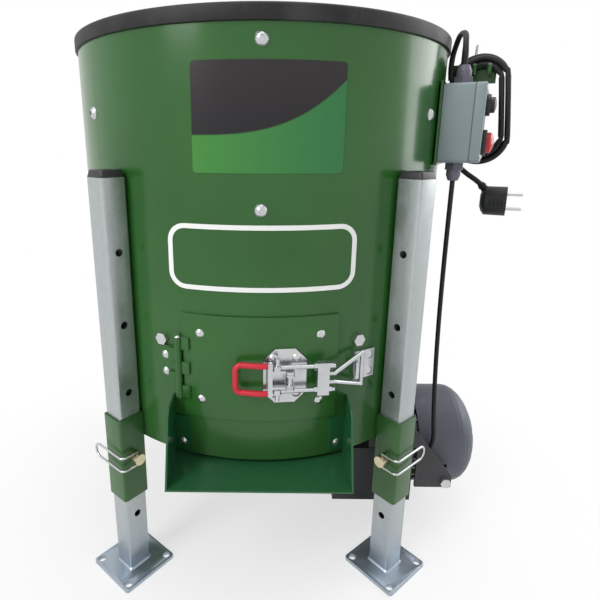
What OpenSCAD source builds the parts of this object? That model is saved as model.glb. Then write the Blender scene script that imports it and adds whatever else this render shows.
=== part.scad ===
// Walnut huller: an open drum on four pinned legs, with a hinged discharge door over a chute,
// and a worm-geared motor below that turns a ribbed disc inside the drum.
// Millimetres, +Z up, front towards -Y. The origin is on the ground under the drum's axis.
// Angles round the drum are counted from the front, positive to the right.

/* [Drum] */
// Outside diameter of the drum
drum_d = 490; // [470:1:520]
// Height of the drum's wall
drum_h = 478; // [470:1:540]
// Height of the drum's lower edge above the ground
stand_h = 190; // [186:1:220]
// Thickness of the drum's sheet
drum_wall = 2; // [1.5:0.1:2.5]
// Width of the flange turned in at the drum's lower edge
drum_flange = 20; // [12:1:30]
// Thickness of the drum's floor plate
floor_t = 3; // [2:0.5:5]
// Thickness of the liner on the inside of the wall
liner_t = 2.5; // [1.5:0.1:3]
// Height of the rubber trim on the rim
trim_h = 16; // [12:1:24]
// Thickness of the rubber trim on each side of the wall
trim_t = 3; // [2:0.5:5]

/* [Wall bolts] */
// Shank diameter of the bolts through the wall
bolt_d = 8; // [6:0.5:10]
// Diameter of the round bolt heads
bolt_head_d = 14; // [12:0.5:20]
// Height of the round bolt heads
bolt_head_h = 4.5; // [3:0.5:6]
// Width of the hex key's hole in the round bolt heads
key_w = 5; // [4:0.5:6]
// Height of the upper front bolt above the drum's lower edge
bolt_high = 450; // [430:1:455]
// Height of the lower front bolt above the drum's lower edge
bolt_mid = 290; // [270:1:300]
// Height of the side bolts above the drum's lower edge
bolt_side = 389; // [370:1:400]

/* [Door] */
// Width of the discharge door along the wall
door_w = 176; // [160:1:184]
// Height of the discharge door
door_h = 124; // [112:1:134]
// Height of the door's lower edge above the drum's lower edge
door_rise = 52; // [46:1:60]
// Thickness of the door's sheet
door_t = 2; // [1.5:0.1:3]
// Overlap of the door round its opening
door_lap = 12; // [10:0.5:16]
// Diameter of the hinge barrel
barrel_d = 8; // [7:0.5:10]
// Diameter of the hinge pin
hinge_pin_d = 4; // [3:0.5:5]
// Height of the hinge
hinge_h = 74; // [66:1:80]

/* [Latch] */
// Width of the latch base plate
latch_w = 48; // [44:1:54]
// Height of the latch base plate
latch_h = 64; // [58:1:70]
// Distance along the wall from the drum's front line to the latch's middle
latch_off = 27; // [20:1:30]
// Height of the latch pivot above the door
pivot_rise = 13; // [11:0.5:16]
// Diameter of the latch pivots
pivot_d = 5; // [4:0.5:6]
// Diameter of the threaded rods of the pull hook
rod_d = 5; // [4:0.5:6]
// Distance between the two threaded rods
rod_gap = 28; // [27:0.5:32]
// Height of the wire loop of the pull hook
loop_h = 44; // [36:1:48]
// Length of the red grip loop
grip_len = 38; // [30:1:42]
// Height of the red grip loop
grip_h = 39; // [37:1:44]

/* [Chute] */
// Width of the chute
chute_w = 203; // [200:1:215]
// Height of the chute's side walls
chute_h = 78; // [70:1:84]
// How far the chute's lip stands in front of the drum
chute_reach = 47; // [36:1:60]
// Thickness of the chute's sheet
chute_t = 2; // [1.5:0.1:3]

/* [Legs] */
// Angle of each leg from the drum's front or back line
leg_deg = 40; // [38:0.5:44]
// Side of the square leg tube
leg_side = 30; // [28:0.5:32]
// Wall of the leg tube
leg_wall = 2; // [1.5:0.1:3]
// Height of the leg tube's top above the ground
leg_top = 510; // [480:1:560]
// Distance between the holes of a leg
hole_pitch = 86; // [80:1:90]
// Diameter of the holes of a leg
leg_hole_d = 9; // [8.5:0.1:10]
// Wall of the leg sockets
socket_wall = 2; // [1.5:0.1:3]
// Height of the leg sockets
socket_h = 112; // [100:1:130]
// Play between a leg and its socket
socket_play = 0.5; // [0.3:0.1:0.8]
// Side of the square foot plates
foot_side = 75; // [72:1:90]
// Thickness of the foot plates
foot_t = 5; // [4:0.5:8]
// Distance between the holes of a foot plate
foot_pitch = 60; // [56:1:62]
// Diameter of the holes of a foot plate
foot_hole_d = 9; // [7:0.5:11]
// Diameter of the lock pins
pin_d = 8; // [7:0.1:8.4]
// Wire diameter of the lock pins' bails
bail_wire = 3; // [2:0.1:3.5]

/* [Switch box] */
// Angle of the switch box from the drum's front line
box_deg = 65; // [63:0.5:68]
// Width of the switch box along the wall
box_w = 70; // [60:1:76]
// Height of the switch box
box_h = 90; // [84:1:100]
// Depth of the switch box with its lid
box_depth = 46; // [40:1:56]
// Wall of the switch box
box_wall = 2.5; // [2:0.1:3.5]
// Height of the box's lower edge above the drum's lower edge
box_rise = 335; // [330:1:345]
// Diameter of the start button
start_d = 18; // [14:0.5:20]
// Diameter of the stop button
stop_d = 24; // [20:0.5:28]
// Travel of the two buttons
button_travel = 3; // [2:0.5:4]

/* [Cord] */
// Diameter of the mains cord
cord_d = 6.8; // [6:0.1:7]
// Distance between the turns of the hank
hank_pitch = 7.4; // [7.3:0.1:8]
// Length of the hank's straight runs
hank_run = 64; // [50:1:80]
// Number of turns in the hank, half of them in each layer
hank_turns = 4; // [2:2:6]
// Smallest bend in the hank
hank_bend = 20.5; // [20:0.5:26]

/* [Drive] */
// Distance from the drum's axis to the motor's axis
worm_gap = 55; // [55:0.5:58]
// Depth of the motor's axis below the drum's lower edge
motor_z = 82; // [78:1:86]
// Outside diameter of the motor's fins
motor_d = 140; // [130:1:146]
// Distance from the drum's axis to the back of the motor housing
motor_end = 270; // [250:1:290]
// Length of the domed fan cowl
cowl_len = 56; // [46:1:66]
// Diameter of the output shaft
shaft_d = 25; // [22:0.5:28]
// Teeth of the worm wheel
wheel_teeth = 20; // [20:1:20]
// Starts of the worm
worm_starts = 4; // [4:1:4]
// Pitch radius of the worm
worm_r = 17; // [17:0.5:18]
// Width of the worm wheel
wheel_w = 22; // [18:1:26]

/* [Huller disc] */
// Gap between the disc's rim and the liner
disc_gap = 6; // [4:0.5:10]
// Thickness of the disc
disc_t = 5; // [4:0.5:8]
// Height of the disc's ribs
rib_h = 14; // [8:1:18]
// Width of the disc's ribs
rib_w = 8; // [5:0.5:12]
// Number of ribs on the disc
rib_count = 8; // [6:1:10]
// Height of the disc above the drum's floor plate
disc_lift = 14; // [12:1:20]

/* [Hidden] */
$fn = 64;

// Overrun of every cut past the face that it opens
over = 1;
// Clearance of a turning or sliding fit, on each side
run = 0.08;
// Clearance between pieces that move past each other
clear = 0.4;
// Width of a wire at its bends, for one of its straight stretches
ball_share = 1.08;
// Width of a bent wire, for that of the straight bar that it grows from
tube_share = 0.97;

// Drum
drum_r = drum_d / 2;
drum_in = drum_r - drum_wall;
drum_top = stand_h + drum_h;
floor_top = stand_h + drum_wall + floor_t;
liner_in = drum_in - liner_t;
liner_drop = 15;
window_w = 64;
window_len = 44;
window_r = 150;
window_angles = [0, 180, 270];

// Wall bolts, as angle and height above the ground
bolt_side_deg = 52;
liner_bolts = [
    for (turn = [0, 180], up = [bolt_high, bolt_mid]) [turn, stand_h + up],
    for (turn = [bolt_side_deg, 180 - bolt_side_deg], side = [-1, 1]) [side * turn, stand_h + bolt_side]
];
nut_w = bolt_d * 13 / 8;
nut_h = bolt_d * 0.8;
key_depth = bolt_head_h * 0.6;
hex_share = 2 / sqrt(3);

// Door and its opening, with angles as half widths
door_z = stand_h + door_rise;
door_deg = arc_deg(door_w / 2);
open_deg = arc_deg(door_w / 2 - door_lap - 3 * clear);
open_z = door_z + door_lap;
open_h = door_h - 2 * door_lap;
panel_in = drum_r + clear;
panel_out = panel_in + door_t;
frame_w = 50;
frame_deg = open_deg + arc_deg(frame_w);
frame_lap = 14;
frame_bolt_inset = 10;
frame_bolt_drop = 35;
frame_bolt_deg = frame_deg - arc_deg(frame_bolt_inset);
frame_bolt_z = door_z + door_h - frame_bolt_drop;
frame_bolts = [for (side = [-1, 1]) [side * frame_bolt_deg, frame_bolt_z]];
rivet_d = 5;
rivet_head_d = 10;
rivet_head_h = 2.2;
door_rivet_side = 21;
door_rivet_deg = door_deg - arc_deg(door_rivet_side);
door_rivet_inset = 22;
door_rivets_at = [
    for (side = [-1, 1], up = [door_rivet_inset, door_h - door_rivet_inset])
        [side * door_rivet_deg, door_z + up]
];

// Hinge on the door's left edge
hinge_deg = -door_deg - arc_deg(barrel_d / 2 + clear);
hinge_r = panel_out + barrel_d / 2 - door_t / 2;
leaf_w = 26;
leaf_t = 2;
hinge_rise = 22;
hinge_z = door_z + hinge_rise;
knuckle_h = (hinge_h - 4 * clear) / 5;
leaf_rivet_deg = hinge_deg - arc_deg(leaf_w * 0.76);

// Latch: a frame on the door panel, x to the right, y up, z outwards
latch_deg = arc_deg(latch_off);
latch_z = door_z + door_h * 0.46;
plate_t = 2.5;
cheek_t = 2.5;
cheek_y = 5;
arm_t = 3;
arm_y = cheek_y + cheek_t + clear;
pivot_x = 4;
pull_back = 13.5;
pull_drop = 2.5;
pull_x = pivot_x - pull_back;
pull_z = pivot_rise - pull_drop;
rod_y = rod_gap / 2;
eye_d = rod_d * 1.9;
block_x = 34;
block_w = 13;
block_t = 9;
rod_over = 7;
rod_end = block_x + block_w + rod_over;
rod_nut_w = rod_d * 1.6;
rod_nut_h = rod_d * 0.7;
loop_wire = 5;
loop_x = 90;
loop_z = -9;
latch_cut = 13;
latch_hole_inset = 11;
latch_hole_x = latch_w / 2 - latch_hole_inset;
latch_hole_y = latch_h / 2 - latch_hole_inset;
grip_d = 6.5;
grip_back = 24;
grip_x = pivot_x - grip_back;
grip_tip_z = 5;
yoke_w = 5;

// Catch plate: its lip stands straight out beside the hook's bar
lip_t = 3;
lip_h = 17;
lip_gap = 1.6;
lip_over = 5;
catch_h = 35;
catch_w = 30;
catch_t = 2.5;
bar_x = loop_x * cos(latch_deg) + (panel_out + loop_z) * sin(latch_deg);
bar_y = loop_x * sin(latch_deg) - (panel_out + loop_z) * cos(latch_deg);
lip_x = bar_x - loop_wire / 2 - lip_gap - lip_t;
catch_from = asin(lip_x / drum_r) - arc_deg(catch_t);
catch_to = catch_from + arc_deg(catch_w);
catch_rivet_deg = catch_to - arc_deg(rivet_head_d * 0.7);
catch_rivet_y = catch_h * 0.29;

// Chute
chute_gap = 3;
chute_floor = stand_h - chute_t - chute_gap;
chute_front = drum_r + chute_reach;
chute_under = 32;
chute_back = drum_r - chute_under;
chute_nose = 14;
chute_lean = 38;
chute_deg = asin(chute_w / 2 / drum_r);
chute_tab_w = 22;
chute_tab_h = 42;
chute_tab_lift = 5;
chute_tab_z = stand_h + chute_tab_lift;
chute_rivet_rise = 9;
chute_rivet_deg = chute_deg - arc_deg(chute_tab_w * 0.55);

// Legs
socket_side = leg_side + 2 * (socket_play + socket_wall);
leg_r = drum_r + socket_side / 2;
socket_z = stand_h - socket_h * 0.7;
first_hole = 84;
hole_count = 5;
pin_z = first_hole + hole_pitch;
leg_angles = [-leg_deg, leg_deg, 180 - leg_deg, leg_deg - 180];
cap_h = 8;
cap_plug = 14;
head_d = 14;
head_len = 12;
pin_tip = 9;
// Side of each pin's head, along the leg's own x, in the order of leg_angles
head_sides = [1, -1, 1, -1];
bail_x = socket_side / 2 + head_len / 2 + clear;
bail_gap = 3;
bail_out = socket_side / 2 + bail_wire / 2 + bail_gap;
bail_y = head_d / 2 + bail_wire / 2 + clear;
bail_tip_y = 5;
bail_bend = 5;
bail_over = 4;
bail_reach = socket_side / 2 + pin_tip + bail_over;

// Switch box: a frame on the drum, x along the wall to the rear, y up, z outwards
bracket_t = 3;
box_z = stand_h + box_rise;
box_back = bracket_t + clear;
lid_t = 12;
box_front = box_back + box_depth;
box_mid = box_z + box_h / 2;
start_y = box_h * 0.24;
stop_y = -box_h * 0.24;
stem_d = 9;
cap_t = 6;
block_depth = 14;
button_head = 3;
gland_in = 18;
gland_out = box_back + gland_in;
gland_x = -4;
motor_gland_x = -8;
gland_d = 17;
gland_hex = 20;
gland_h = 22;
screw_d = 4;
screw_head_d = 8;
screw_head_h = 3;
screw_gap = 64;

// Mains cord: the hank hangs in a plane behind the box, with points in the box's frame
cord_r = cord_d / 2;
hank_side = 15;
hank_drop = 25;
hank_wall_gap = 6.7;
hank_lean = 6;
hank_outer = hank_bend + hank_pitch * hank_turns / 2;
hank_x = box_w / 2 + hank_side;
hank_y = box_z + box_h - hank_drop;
hank_out = hank_outer + hank_wall_gap;
loop_rings = 24;
ring_sides = 6;
tube_sides = 8;

// Steps of the cord along the wall, up and outwards: from the upper gland, then to the hank's start,
// and from the hank's end to the plug
lead_rise = [
    [0, 19, -0.4], [0, 27, -0.4], [0, 35, -0.4], [2, 45, -1.4], [8, 54, -2.4], [17, 60, -4.4], [27, 62, -8.4]
];
lead_fall = [[-17, 50.1, 6.2], [-8, 44.1, 3.2], [-2, 35.1, 0.2], [0, 25.1, -1.2], [0, 15.1, -1.4]];
tail_fall = [
    [-0.4, -6.7, 1], [-0.4, -15.7, 3], [-0.4, -23.7, 7], [-0.4, -31.7, 14],
    [-0.4, -39.7, 24], [-0.4, -45.7, 33], [-0.4, -51.7, 41]
];

// Plug
plug_step = [-0.4, -73.7, 49];
plug_d = 38;
plug_len = 26;
sleeve_d = 11;
pin_gap = 19;
prong_d = 4.8;
prong_len = 19;

// Cord hook: two pegs through the hank with a low lip, and two tips that stand up behind it
prong_wire = 5;
tip_wire = 3.5;
tip_gap = 16;
tip_in = 20.5;
tip_rise = 10.7;
tip_y = hank_y + hank_run / 2 + hank_outer + tip_rise;
hook_t = 4;
hook_h = 24;
strip_h = 18;
hook_side = 5;
hook_x = hank_x + hank_pitch + cord_r + hook_side;
hook_rise = 12.6;
hook_y = hank_y + hank_run / 2 + hook_rise;
hook_in = 3.5;
hook_mid = hank_out - hook_in;
hook_gap = 17;
hook_tip_gap = 6;
hook_tip_x = hank_x - cord_r - prong_wire / 2 - hook_tip_gap;
hook_lip = 7;
hook_tip_y = hook_y + hook_lip;
tip_mid = hank_out - tip_in;

// Drive
wheel_r = worm_gap - worm_r;
worm_pitch = 2 * PI * wheel_r / wheel_teeth;
worm_lead = worm_pitch * worm_starts;
worm_len = 60;
tooth_tip = 2.8;
tooth_root = 4;
wheel_twist = atan(worm_lead / (2 * PI * worm_r));
worm_shaft_d = 20;
case_wall = 7;
motor_flange_t = 10;
case_gap = 4;
wheel_case = wheel_r + tooth_tip + case_gap;
worm_case = worm_r + tooth_tip + case_gap;
case_r = wheel_case + case_wall;
worm_end = 30;
case_half = worm_len / 2 + worm_end;
case_end = 16;
axis_z = stand_h - motor_z;
case_low = axis_z - wheel_w / 2 - case_gap - case_end;
case_high = axis_z + wheel_w / 2 + case_gap + case_end;
cover_t = 6;
cover_r = min(case_r, case_half - motor_flange_t - clear);
pad_side = 120;
pad_t = 8;
pad_top = stand_h + drum_wall;
neck_d = 68;
bearing_d = 52;
bearing_w = 15;
worm_bearing_w = 12;
seal_d = 46;
seal_h = 9;
motor_gap = 2;
motor_start = case_half + motor_gap;
motor_wall = 5;
fin_count = 24;
fin_h = 7;
fin_t = 3;
motor_body = motor_d / 2 - fin_h;
rotor_body_r = 36;
winding_front = 40;
winding_rear = 50;
rotor_from = motor_start + winding_front;
rotor_to = motor_end - winding_rear;
cowl_t = 2;
cowl_r = motor_d / 2 + cowl_t + clear;
cowl_over = 40;
cowl_skirt = 18;
vent_count = 12;
fan_gap = 10;
fan_r = motor_d / 2 - fan_gap;
fan_lift = 2;
fan_t = 4;
fan_hub_d = 34;
blade_count = 7;
blade_t = 3;
blade_len = 16;
term_from = 104;
term_to = 214;
term_front = 146;
term_down = 54;
term_up = 30;
term_low = axis_z - term_down;
term_high = axis_z + term_up;
term_wall = 3;
term_lid_t = 6;

// Motor cable: it hangs from the lower gland and bends into the terminal box's side
cable_d = 6;
cable_count = 19;
cable_start = 20;
cable_in = 14;
cable_up = 8;
cable_turn = [[31, 1, 30], [27, 0, 14], [17, 0, 3], [8, 0, 0], [0, 0, 0]];
cable_from = [
    motor_gland_x * cos(box_deg) + (drum_r + gland_out) * sin(box_deg),
    motor_gland_x * sin(box_deg) - (drum_r + gland_out) * cos(box_deg),
    box_z - cable_start
];
cable_to = [term_to, cable_in - term_front, axis_z + cable_up];
cable_way = cable_to + cable_turn[0] - cable_from;
function cable_point(s) =
    cable_from + [cable_way[0] * s * s * s, cable_way[1] * s * s * s, cable_way[2] * s];
cable_route = concat(
    [for (k = [0 : cable_count - 1]) cable_point(k / cable_count)],
    [for (p = cable_turn) cable_to + p]
);

// Stay of the motor, bolted under the drum
stay_y = 150;
stay_t = 4;
lug_in = 10;
lug_drop = 20;
stay_lug_x = motor_end - lug_in;
stay_lug_z = axis_z - lug_drop;
stay_lug_r = 9;
stay_tab = 30;
stay_from = 150;
stay_to = 196;
stay_bolt_x = 172;
stay_gap = 4;
stay_knee = term_to + stay_gap;
stay_step = term_high + stay_gap;
ear_d = 20;
ear_len = stay_y - stay_t - worm_gap - motor_body + motor_wall;
flange_bolt_r = motor_d * 0.4;
flange_bolt_angles = [0, 180, 225, 315];

// Huller disc
disc_r = liner_in - disc_gap;
disc_z = floor_top + disc_lift;
disc_hub_d = 70;
disc_hub_h = 24;
rib_gap = 6;
rib_from = disc_hub_d / 2 + rib_gap;
nut_cap_d = 38;
nut_cap_h = 16;

// Angle of an arc of the drum's outside
function arc_deg(length) = length / drum_r * 180 / PI;

// A child placed on a wall of radius r: x to the right, y up, z outwards
module on_wall(deg, z = 0, r = drum_r) {
    rotate([0, 0, deg]) translate([0, -r, z]) rotate([90, 0, 0]) children();
}

// A sheet curved round the drum's axis, between two angles
module curved_sheet(from, to, r_in, t, z, h) {
    rotate([0, 0, from - 90])
        rotate_extrude(angle = to - from, $fn = 180)
            translate([r_in, z]) square([t, h]);
}

// A ring round the z axis
module ring(r_out, r_in, z, h) {
    translate([0, 0, z]) difference() {
        cylinder(r = r_out, h = h, $fn = 180);
        translate([0, 0, -over]) cylinder(r = r_in, h = h + 2 * over, $fn = 180);
    }
}

// A round rod between two points
module rod(a, b, d) {
    v = b - a;
    translate(a)
        rotate([0, acos(v[2] / norm(v)), atan2(v[1], v[0])])
            cylinder(d = d, h = norm(v), $fn = 24);
}

// A bent wire through points, round at its bends
module wire(points, d) {
    for (i = [0 : len(points) - 2]) rod(points[i], points[i + 1], d);
    for (p = points) translate(p) sphere(d = d * ball_share, $fn = 24);
}

// A low dome on a flat face
module dome(d, h) {
    s = (d * d / 4 + h * h) / (2 * h);
    intersection() {
        translate([0, 0, h - s]) sphere(r = s);
        cylinder(d = d, h = h);
    }
}

// A hexagon prism by its width over the flats
module hex(w, h) {
    cylinder(d = w * hex_share, h = h, $fn = 6);
}

// Holes through the drum's wall at a list of angles and heights
module wall_holes(places, d, r = drum_r) {
    for (p = places) on_wall(p[0], p[1], r)
        translate([0, 0, -drum_wall - liner_t - 3 * over])
            cylinder(d = d, h = drum_wall + liner_t + door_t + 6 * over);
}

// Directions along a route, and normals carried along it without twist
function unit(v) = v / norm(v);
function along(p) = [
    for (i = [0 : len(p) - 1]) unit(p[min(i + 1, len(p) - 1)] - p[max(i - 1, 0)])
];
function drop(n, t) = unit(n - (n * t) * t);
function across(t, first) = [
    for (i = 0, n = drop(first, t[0]); i < len(t); i = i + 1, n = i < len(t) ? drop(n, t[i]) : n) n
];

// A tube along a route, as triangles
module tube(p, d, sides, first) {
    t = along(p);
    n = across(t, first);
    points = [
        for (i = [0 : len(p) - 1], k = [0 : sides - 1])
            p[i] + d / 2 * (cos(360 * k / sides) * n[i] + sin(360 * k / sides) * cross(t[i], n[i]))
    ];
    last = (len(p) - 1) * sides;
    faces = [
        for (i = [0 : len(p) - 2], k = [0 : sides - 1])
            let (a = i * sides + k, b = i * sides + (k + 1) % sides)
                each [[a, b + sides, b], [a, a + sides, b + sides]],
        for (k = [1 : sides - 2]) [0, k, k + 1],
        for (k = [1 : sides - 2]) [last, last + k + 1, last + k]
    ];
    polyhedron(points = points, faces = faces, convexity = 10);
}

module drum_shell() {
    color("darkgreen") difference() {
        union() {
            ring(drum_r, drum_in, stand_h, drum_h);
            ring(drum_r, drum_in - drum_flange, stand_h, drum_wall);
        }
        curved_sheet(-open_deg, open_deg, drum_in - over, drum_wall + 2 * over, open_z, open_h);
        wall_holes(liner_bolts, bolt_d + 2 * run);
        wall_holes(frame_bolts, bolt_d + 2 * run);
        wall_holes(body_rivet_places(), rivet_d + 2 * run);
        stay_bolt() cylinder(d = bolt_d + 2 * run, h = stay_t + drum_wall + over);
    }
}

module rim_trim() {
    color("black") difference() {
        ring(drum_r + trim_t, drum_in - trim_t, drum_top + trim_t - trim_h, trim_h);
        ring(drum_r, drum_in, drum_top - trim_h, trim_h);
    }
}

module drum_floor() {
    color("darkgreen") difference() {
        translate([0, 0, stand_h + drum_wall]) cylinder(r = drum_in - clear, h = floor_t, $fn = 180);
        translate([0, 0, stand_h]) cylinder(d = seal_d, h = floor_t + drum_wall + over);
        for (a = window_angles) rotate([0, 0, a])
            translate([-window_w / 2, -window_r - window_len / 2, stand_h])
                cube([window_w, window_len, floor_t + drum_wall + over]);
        pad_bolts() translate([0, 0, -over]) cylinder(d = bolt_d + 2 * run, h = floor_t + pad_t + 2 * over);
    }
}

module wall_liner() {
    color("dimgray") difference() {
        ring(drum_in - clear, liner_in, disc_z, drum_top - liner_drop - disc_z);
        curved_sheet(-frame_deg - arc_deg(2 * clear), frame_deg + arc_deg(2 * clear), liner_in - over,
            liner_t + 2 * over, open_z - frame_lap - clear, open_h + 2 * (frame_lap + clear));
        wall_holes(liner_bolts, bolt_d + 2 * run);
        wall_holes(leaf_rivets(), rivet_head_d + clear);
        wall_holes(catch_rivets(), rivet_head_d + clear);
    }
}

module wall_bolts() {
    shank = drum_wall + liner_t + nut_h + clear;
    color("silver") {
        for (p = liner_bolts) on_wall(p[0], p[1]) {
            difference() {
                dome(bolt_head_d, bolt_head_h);
                translate([0, 0, bolt_head_h - key_depth]) hex(key_w, key_depth + over);
            }
            translate([0, 0, -shank]) cylinder(d = bolt_d, h = shank);
        }
        for (p = frame_bolts) on_wall(p[0], p[1]) {
            hex(nut_w, nut_h * 0.8);
            translate([0, 0, -shank]) cylinder(d = bolt_d, h = shank);
        }
        box_frame() box_screws() translate([0, 0, over]) {
            cylinder(d = screw_d, h = box_back + box_wall + screw_head_h);
            translate([0, 0, box_back + box_wall + run]) cylinder(d = screw_head_d, h = screw_head_h);
        }
    }
}

module wall_nuts() {
    color("silver") for (p = concat(liner_bolts, frame_bolts)) on_wall(p[0], p[1], liner_in)
        translate([0, 0, -nut_h - clear / 2]) difference() {
            hex(nut_w, nut_h);
            translate([0, 0, -over]) cylinder(d = bolt_d + 2 * run, h = nut_h + 2 * over);
        }
}

module door_frame() {
    color("darkgreen") difference() {
        curved_sheet(-frame_deg, frame_deg, liner_in, liner_t - clear,
            open_z - frame_lap, open_h + 2 * frame_lap);
        curved_sheet(-open_deg, open_deg, liner_in - over, liner_t + 2 * over, open_z, open_h);
        wall_holes(frame_bolts, bolt_d + 2 * run);
        wall_holes(leaf_rivets(), rivet_head_d + clear);
        wall_holes(catch_rivets(), rivet_head_d + clear);
    }
}

// One knuckle of the hinge, counted from the bottom, with its bore
module knuckle(i, bore) {
    on_hinge() translate([0, 0, hinge_z + clear + i * (knuckle_h + clear / 2)]) difference() {
        cylinder(d = barrel_d, h = knuckle_h);
        translate([0, 0, -over]) cylinder(d = bore, h = knuckle_h + 2 * over);
    }
}

module on_hinge() {
    rotate([0, 0, hinge_deg]) translate([0, -hinge_r, 0]) children();
}

// Tab that joins knuckle i to a sheet on one side of the hinge, -1 for the left
module knuckle_tab(i, side, r_in, length) {
    z = hinge_z + clear + i * (knuckle_h + clear / 2);
    from = side > 0 ? hinge_deg : hinge_deg - arc_deg(length);
    curved_sheet(from, from + arc_deg(length), r_in, hinge_r - r_in, z, knuckle_h);
}

module hinge_leaf() {
    color("darkgreen") {
        difference() {
            union() {
                curved_sheet(hinge_deg - arc_deg(leaf_w), hinge_deg - arc_deg(barrel_d / 2),
                    drum_r, leaf_t, hinge_z + knuckle_h, hinge_h - 2 * knuckle_h);
                for (i = [1 : 2 : 3]) knuckle_tab(i, -1, panel_in, leaf_w / 2);
            }
            on_hinge() translate([0, 0, hinge_z]) cylinder(d = hinge_pin_d + 2 * run, h = hinge_h);
            wall_holes(leaf_rivets(), rivet_d + 2 * run);
        }
        for (i = [1 : 2 : 3]) knuckle(i, hinge_pin_d + 2 * run);
    }
}

module hinge_pin() {
    color("silver") on_hinge() translate([0, 0, hinge_z - clear]) {
        cylinder(d = hinge_pin_d, h = hinge_h + 2 * clear);
        translate([0, 0, hinge_h + clear]) dome(barrel_d, rivet_head_h);
    }
}

module door_panel() {
    color("darkgreen") {
        difference() {
            union() {
                curved_sheet(-door_deg, door_deg, panel_in, door_t, door_z, door_h);
                for (i = [0 : 2 : 4]) knuckle_tab(i, 1, panel_in, leaf_w / 2);
            }
            on_hinge() translate([0, 0, hinge_z - over])
                cylinder(d = hinge_pin_d + 2 * run, h = hinge_h + 2 * over);
            wall_holes(door_rivets_at, rivet_d + 2 * run);
            latch_rivet_holes();
        }
        for (i = [0 : 2 : 4]) knuckle(i, hinge_pin_d + 2 * run);
    }
}

module door_plug() {
    color("dimgray") difference() {
        curved_sheet(-open_deg + arc_deg(2 * clear), open_deg - arc_deg(2 * clear),
            liner_in, panel_in - liner_in, open_z + clear, open_h - 2 * clear);
        wall_holes(door_rivets_at, rivet_d + 2 * run);
        latch_rivet_holes();
    }
}

module door_rivets() {
    shank = panel_out - liner_in;
    color("silver") {
        for (p = door_rivets_at) on_wall(p[0], p[1], panel_out) rivet(shank);
        latch_frame() for (x = [-1, 1], y = [-1, 1])
            translate([x * latch_hole_x, y * latch_hole_y, plate_t + run]) rivet(shank + plate_t);
    }
}

// A round-headed rivet with its shank going in
module rivet(length) {
    dome(rivet_head_d, rivet_head_h);
    translate([0, 0, -length]) cylinder(d = rivet_d, h = length);
}

module latch_frame() {
    on_wall(latch_deg, latch_z, panel_out) children();
}

module latch_rivet_holes() {
    latch_frame() for (x = [-1, 1], y = [-1, 1])
        translate([x * latch_hole_x, y * latch_hole_y, -door_t - drum_wall - liner_t - 3 * over])
            cylinder(d = rivet_d + 2 * run, h = door_t + drum_wall + liner_t + plate_t + 6 * over);
}

// Base plate of the latch, with cut corners
module latch_plate() {
    w = latch_w / 2;
    h = latch_h / 2;
    linear_extrude(height = plate_t) polygon([
        [w, h - latch_cut], [w - latch_cut, h], [latch_cut - w, h], [-w, h - latch_cut],
        [-w, latch_cut - h], [latch_cut - w, -h], [w - latch_cut, -h], [w, latch_cut - h]
    ]);
}

module latch_base() {
    color("silver") latch_frame() translate([0, 0, run]) {
        difference() {
            latch_plate();
            for (x = [-1, 1], y = [-1, 1]) translate([x * latch_hole_x, y * latch_hole_y, -over])
                cylinder(d = rivet_d + 2 * run, h = plate_t + 2 * over);
        }
        for (side = [-1, 1]) latch_cheek(side);
        translate([pivot_x, -arm_y - arm_t, pivot_rise]) rotate([-90, 0, 0])
            cylinder(d = pivot_d, h = 2 * (arm_y + arm_t));
    }
}

// Upright cheek that carries the handle's pivot
module latch_cheek(side) {
    foot = pivot_rise;
    low = side > 0 ? cheek_y : -cheek_y - cheek_t;
    translate([pivot_x, low + cheek_t, pivot_rise]) rotate([90, 0, 0]) {
        cylinder(r = pivot_d, h = cheek_t);
        translate([-pivot_d, -foot, 0]) cube([2 * pivot_d, foot, cheek_t]);
    }
}

module latch_handle() {
    color("silver") latch_frame() translate([0, 0, run]) {
        for (side = [-1, 1]) handle_arm(side);
        for (side = [-1, 1]) translate([pull_x, side > 0 ? arm_y : -arm_y - arm_t - rod_y, pull_z])
            rotate([-90, 0, 0]) cylinder(d = pivot_d, h = arm_t + rod_y);
        translate([grip_x, -grip_h / 2, pull_z - yoke_w / 2])
            cube([yoke_w, grip_h, yoke_w]);
    }
}

// Flat arm of the handle, from the pivot to the yoke that holds the grip
module handle_arm(side) {
    low = side > 0 ? arm_y : -arm_y - arm_t;
    difference() {
        union() {
            translate([pivot_x, low, pivot_rise]) rotate([-90, 0, 0]) cylinder(r = pivot_d, h = arm_t);
            translate([grip_x + yoke_w / 2, low, pull_z - yoke_w / 2])
                cube([pivot_x - grip_x - yoke_w / 2, arm_t, yoke_w]);
        }
        translate([pivot_x, low - over, pivot_rise]) rotate([-90, 0, 0])
            cylinder(d = pivot_d + 2 * run, h = arm_t + 2 * over);
    }
}

module latch_grip() {
    y = grip_h / 2 - grip_d / 2;
    tip = grip_x - grip_len + grip_d / 2;
    bend = grip_d;
    color("crimson") latch_frame() translate([0, 0, run]) tube([
        [grip_x, y, pull_z],
        [grip_x - bend, y, pull_z],
        for (a = [0 : 30 : 90]) [tip + bend - bend * sin(a), y - bend + bend * cos(a), grip_tip_z],
        for (a = [90 : 30 : 180]) [tip + bend - bend * sin(a), bend - y + bend * cos(a), grip_tip_z],
        [grip_x - bend, -y, pull_z],
        [grip_x, -y, pull_z]
    ], grip_d, 2 * ring_sides, [0, 0, 1]);
}

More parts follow.
